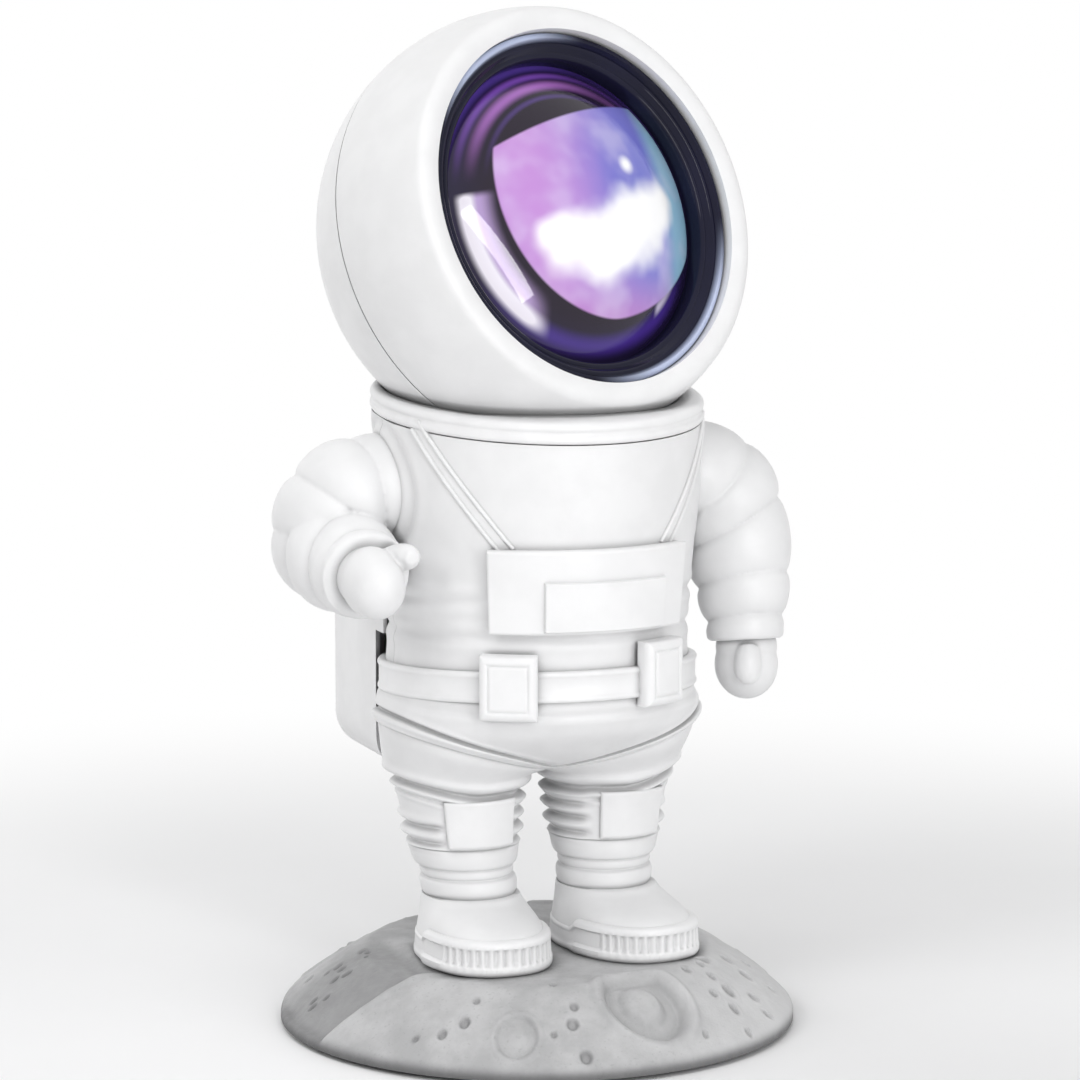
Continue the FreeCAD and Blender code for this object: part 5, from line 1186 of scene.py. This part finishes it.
def right_arm():
    """The bent arm: an upper sleeve, a forward forearm with a cuff, and a mitten with its wrist and thumb."""
    at = (-SHOULDER.x, SHOULDER.y, SHOULDER.z)
    upper = sweep(at, ((4.5, 0, 0, 11.3), (-1.5, 0, 0, 12.2), (-6.6, 0.6, -2.6, 12.9),
                       (-9.8, 2.0, -8.0, 12.8), (-10.6, 2.8, -12.5, 11.5)),
                  slanted_rolls((-4.0, 6.2, 13.0, 21.0, 30.0), 2.0, (0.3, -0.5, 0.0)))
    lower = sweep(at, ((-9.6, 8.4, -10.4, 9.4), (-10.3, 2.6, -12.6, 12.3), (-9.4, -5.2, -14.6, 12.2),
                       (-8.0, -12.4, -16.2, 11.0), (-7.5, -16.6, -16.9, 10.2)),
                  slanted_rolls((-6.0, 10.2, 18.6, 26.6, 34.0), 2.2, (0.3, 0.0, 0.9)))
    cuff = sweep(at, ((-7.5, -15.6, -16.8, 8.6), (-7.5, -16.4, -16.9, 9.9), (-7.4, -18.2, -17.1, 9.8),
                      (-7.4, -18.9, -17.2, 8.8)), rows=24)
    palm = ellipsoid(at, (-7.8, -23.2, -17.9), (6.5, 8.4, 7.7))
    fingers = ellipsoid(at, (-7.5, -26.4, -18.6), (6.0, 6.0, 7.0))
    wrist = sweep(at, ((-7.5, -15.8, -16.8, 6.0), (-7.6, -19, -17.2, 6.8), (-7.8, -22, -17.6, 6.4)), rows=20)
    thumb = sweep(at, ((-4.5, -20.5, -14.2, 2.8), (-1.8, -23.6, -12.8, 3.0), (-0.6, -26.8, -12.4, 2.7),
                       (-0.5, -28.6, -12.4, 1.5)), rows=30)
    arm("right", (upper, lower, cuff), (palm, fingers, wrist, thumb))


def left_arm():
    """The hanging arm: one folded sleeve with a cuff, and a mitten with its wrist and thumb."""
    grooves = (-4.0, 11.6, 22.4, 35.0, 43.6, 56.0)
    slants = (0.0, 1.2, 3.6, 1.0, 0.6, 0.0)

    def rolls(run, heading):
        lean = heading @ np.array([1.0, -0.3, 0.0])
        slanted = [groove - slant * lean for groove, slant in zip(grooves, slants)]
        return puffs(run + 0 * lean, slanted, ROLL_DEPTH)

    at = SHOULDER
    sleeve = sweep(at, ((-4.5, 0, 0, 11.3), (1.5, 0, 0, 12.2), (6.8, -0.4, -3.2, 12.9),
                        (9.8, -2.0, -11.0, 12.7), (10.8, -4.4, -20.8, 12.0), (10.6, -7.0, -29.4, 10.3),
                        (10.3, -8.4, -34.8, 9.3)), rolls, 180)
    cuff = sweep(at, ((10.3, -8.2, -34.0, 7.8), (10.3, -8.4, -34.8, 8.8), (10.3, -8.7, -36.9, 8.7),
                      (10.3, -8.8, -37.6, 8.0)), rows=24)
    palm = ellipsoid(at, (10.3, -9.4, -43.2), (7.2, 7.6, 8.0))
    wrist = sweep(at, ((10.5, -8.7, -35.0, 6.0), (10.5, -8.9, -38.6, 7.0), (10.4, -9.2, -41.0, 6.8)), rows=20)
    thumb = sweep(at, ((8.6, -14.4, -38.8, 2.6), (7.6, -16.4, -41.6, 3.0), (7.4, -16.8, -44.4, 2.8),
                       (7.5, -16.6, -46.2, 1.6)), rows=30)
    arm("left", (sleeve, cuff), (palm, wrist, thumb))


# Helmet and visor, in heights along the head's own axis
SEAM = -7.8
SEAM_HALF = 0.16
LAP = 2.4
LAP_ROOM = 0.05
VISOR_EDGE = 18.4
VISOR_RADIUS = 40.0
HELMET_WALL = 2.5
LENS_SEAT = 9.0
LENS_RADIUS = 34.0
LENS_RIM = 11.1
LENS_SAG = 10.9
LENS_WALL = 2.2


def ball_arc(radius, start, end, count):
    """A ball's outline between two heights."""
    heights = [math.degrees(math.asin(level / radius)) for level in (start, end)]
    return arc(0, 0, radius, *heights, count)


def in_head(verts, faces):
    """A lathed form moved from the head's own frame to its place."""
    return verts @ np.array(HEAD_FRAME.to_3x3()).T + np.array(HELMET) / MM, faces


def helmet():
    """The front and rear shells of the helmet, with a fine seam between them and a rounded lip in front."""
    inner = HELMET_RADIUS - HELMET_WALL
    lap = inner + 1.1
    lap_front = lap + LAP_ROOM
    bevel = HELMET_RADIUS * 0.985
    lip_outer = math.sqrt(HELMET_RADIUS ** 2 - VISOR_EDGE ** 2)
    lip = bend((lip_outer, VISOR_EDGE), (lip_outer - 1.0, VISOR_EDGE + 2.3),
               (VISOR_RADIUS + 0.1, VISOR_EDGE + 0.9), 16)
    seat_inner = VISOR_RADIUS - 4.4
    seat_back = LENS_SEAT - 2
    front = [(lap_front, SEAM + SEAM_HALF), (bevel, SEAM + SEAM_HALF),
             *ball_arc(HELMET_RADIUS, SEAM + 0.45, VISOR_EDGE, 80), *lip, (VISOR_RADIUS, VISOR_EDGE - 0.2),
             (VISOR_RADIUS, LENS_SEAT), (seat_inner, LENS_SEAT), (seat_inner, seat_back),
             *ball_arc(inner, seat_back, SEAM + 2.5, 20), (lap_front, SEAM + 2.5)]
    rear = [(0, -HELMET_RADIUS), *ball_arc(HELMET_RADIUS, -HELMET_RADIUS + 0.02, SEAM - 0.45, 90),
            (bevel, SEAM - SEAM_HALF), (lap, SEAM - SEAM_HALF), (lap, SEAM + LAP),
            *ball_arc(inner, SEAM + LAP, -inner + 0.02, 60), (0, -inner)]
    for half, profile in (("front", front), ("rear", rear)):
        piece(f"helmet_{half}_skin", in_head(*lathe(profile)), "suit_white", f"helmet_{half}_shell", "head",
              sharp=40)


def visor():
    """The bezel, stepped in polished rings, and the domed lens."""
    outer = VISOR_RADIUS - 0.1
    under = LENS_RADIUS + 2.7
    throat = LENS_RADIUS + 0.1
    rim = LENS_RIM + 0.1
    bezel = [(under, LENS_SEAT), (outer, LENS_SEAT), (outer, 16.4), *arc(outer - 1.1, 16.4, 1.1, 0, 110, 10),
             *arc(outer - 2.5, 15.6, 0.9, 60, 150, 8), *arc(outer - 4.4, 14.4, 1.0, 70, 160, 8),
             (throat, 12.9), (throat, rim), (under, rim)]
    piece("visor_ring", lathe(bezel), "visor_black", "visor_bezel", "head", HEAD_FRAME, 40)

    flange = LENS_RADIUS + 2.6
    radius = (LENS_RADIUS ** 2 + LENS_SAG ** 2) / (2 * LENS_SAG)
    centre = LENS_RIM + LENS_SAG - radius
    inner = radius - LENS_WALL
    edge = math.degrees(math.acos(LENS_RADIUS / radius))
    inner_edge = math.degrees(math.asin((LENS_SEAT - centre) / inner))
    dome = [(flange, LENS_SEAT), (flange, LENS_RIM), *arc(0, centre, radius, edge, 90, 70),
            *arc(0, centre, inner, 90, inner_edge, 40)]
    piece("visor_dome", lathe(dome), "visor_coat", "visor_lens", "head", HEAD_FRAME, 40)


# Stage
CAMERA_AZIMUTH = -20.5
CAMERA_RISE = 7.35
CAMERA_REACH = 800.0
CAMERA_AIM = 109.6
FOCAL_PIXELS = 3560.0
PICTURE_PIXELS = 1080.0
AXIS_PIXEL = 537.0
SENSOR = 36.0
WORLD_LIGHT = 0.36
# In metres
FLOOR_REACH = 6.0
FLOOR_FADE = (0.16, 0.42)
LAMP_AIM = (0, 0, 0.12)


def camera():
    """A camera at the photograph's angle, with its framing."""
    turn, rise = math.radians(CAMERA_AZIMUTH), math.radians(CAMERA_RISE)
    toward = Vector((math.sin(turn) * math.cos(rise), -math.cos(turn) * math.cos(rise), math.sin(rise)))
    data = bpy.data.cameras.new("camera")
    data.sensor_width = SENSOR
    data.lens = FOCAL_PIXELS / PICTURE_PIXELS * SENSOR
    data.shift_x = (PICTURE_PIXELS / 2 - AXIS_PIXEL) / PICTURE_PIXELS
    item = placed("camera", data)
    item.location = (Vector((0, 0, CAMERA_AIM)) + CAMERA_REACH * toward) * MM
    item.rotation_euler = toward.to_track_quat("Z", "Y").to_euler()
    bpy.context.scene.camera = item


def lamp(name, place, width, power, height=None, roll=0.0, aim=LAMP_AIM, glossy=False):
    """A soft light, in metres and watts: a disc, or a panel where it has a height too."""
    data = bpy.data.lights.new(name, "AREA")
    data.shape = "RECTANGLE" if height else "DISK"
    data.size = width
    if height:
        data.size_y = height
    data.energy = power
    item = placed(name, data)
    item.location = place
    turn = (Vector(place) - Vector(aim)).to_track_quat("Z", "Y").to_matrix() @ Matrix.Rotation(roll, 3, "Z")
    item.rotation_euler = turn.to_euler()
    item.visible_glossy = glossy


def background():
    """A world that lights the object weakly, and is white where it is seen."""
    world = bpy.data.worlds.new("studio")
    bpy.context.scene.world = world
    world.use_nodes = True
    wires = Wires(world.node_tree)
    strength = wires.add("MapRange", wires.seen_rays(), 0.0, 1.0, WORLD_LIGHT, 1.0)
    target = wires.tree.nodes["Background"].inputs
    wires.feed(target["Strength"], strength.outputs[0])
    wires.feed(target["Color"], (1, 1, 1, 1))


def floor():
    """A pale floor that fades into the white background."""
    far = FLOOR_REACH
    mesh = bpy.data.meshes.new("floor")
    mesh.from_pydata([(-far, -far, 0), (far, -far, 0), (far, far, 0), (-far, far, 0)], [], [(0, 1, 2, 3)])
    look = Look("floor", (0.9, 0.9, 0.905), 0.6)
    look.paint(look.mix(look.noise(40, 3), (0.89, 0.89, 0.895), (0.91, 0.91, 0.915)))
    glow = look.add("Emission", (1, 1, 1, 1))
    white = look.times(look.span(look.gap(0, 0), *FLOOR_FADE), look.seen_rays())
    blend = look.add("MixShader", white, look.shader.outputs[0], glow.outputs[0])
    look.feed(look.tree.nodes["Material Output"].inputs["Surface"], blend.outputs[0])
    mesh.materials.append(look.material)
    placed("floor", mesh)


def studio():
    """A white background, a pale floor, and five soft lights; glossy surfaces show the strip alone."""
    background()
    floor()
    lamp("top", (-0.3, -0.3, 1.35), width=1.0, power=5.5)
    lamp("left", (-1.1, -0.6, 0.8), width=0.45, power=3.4)
    lamp("right", (1.0, -0.9, 0.55), width=0.6, power=1.4)
    lamp("strip", (0.07, -0.82, 0.34), width=0.1, power=3.0, height=0.74, roll=math.radians(33),
         aim=(0, 0, 0.18), glossy=True)
    lamp("rear", (-0.7, 1.1, 0.8), width=0.8, power=6.5)
    bpy.context.scene.view_settings.view_transform = "Standard"


def main():
    """Paint the nodes, set the stage and add every piece."""
    for part in frame["record"]["subparts"]:
        materials = frame["nodes"][part["node"]].data.materials
        materials.clear()
        materials.append(LOOKS[part["material_slot"]])
    camera()
    studio()
    moon_base()
    for side, sign in SIDES:
        boot(side, sign)
        leg(side, sign)
        knee_pad(side, sign)
    for add in (hips, torso, chest_pack, harness, belt, pouches, collar):
        add()
    for add in (right_arm, left_arm, helmet, visor, neck_lead):
        add()


LOOKS = finishes()
main()
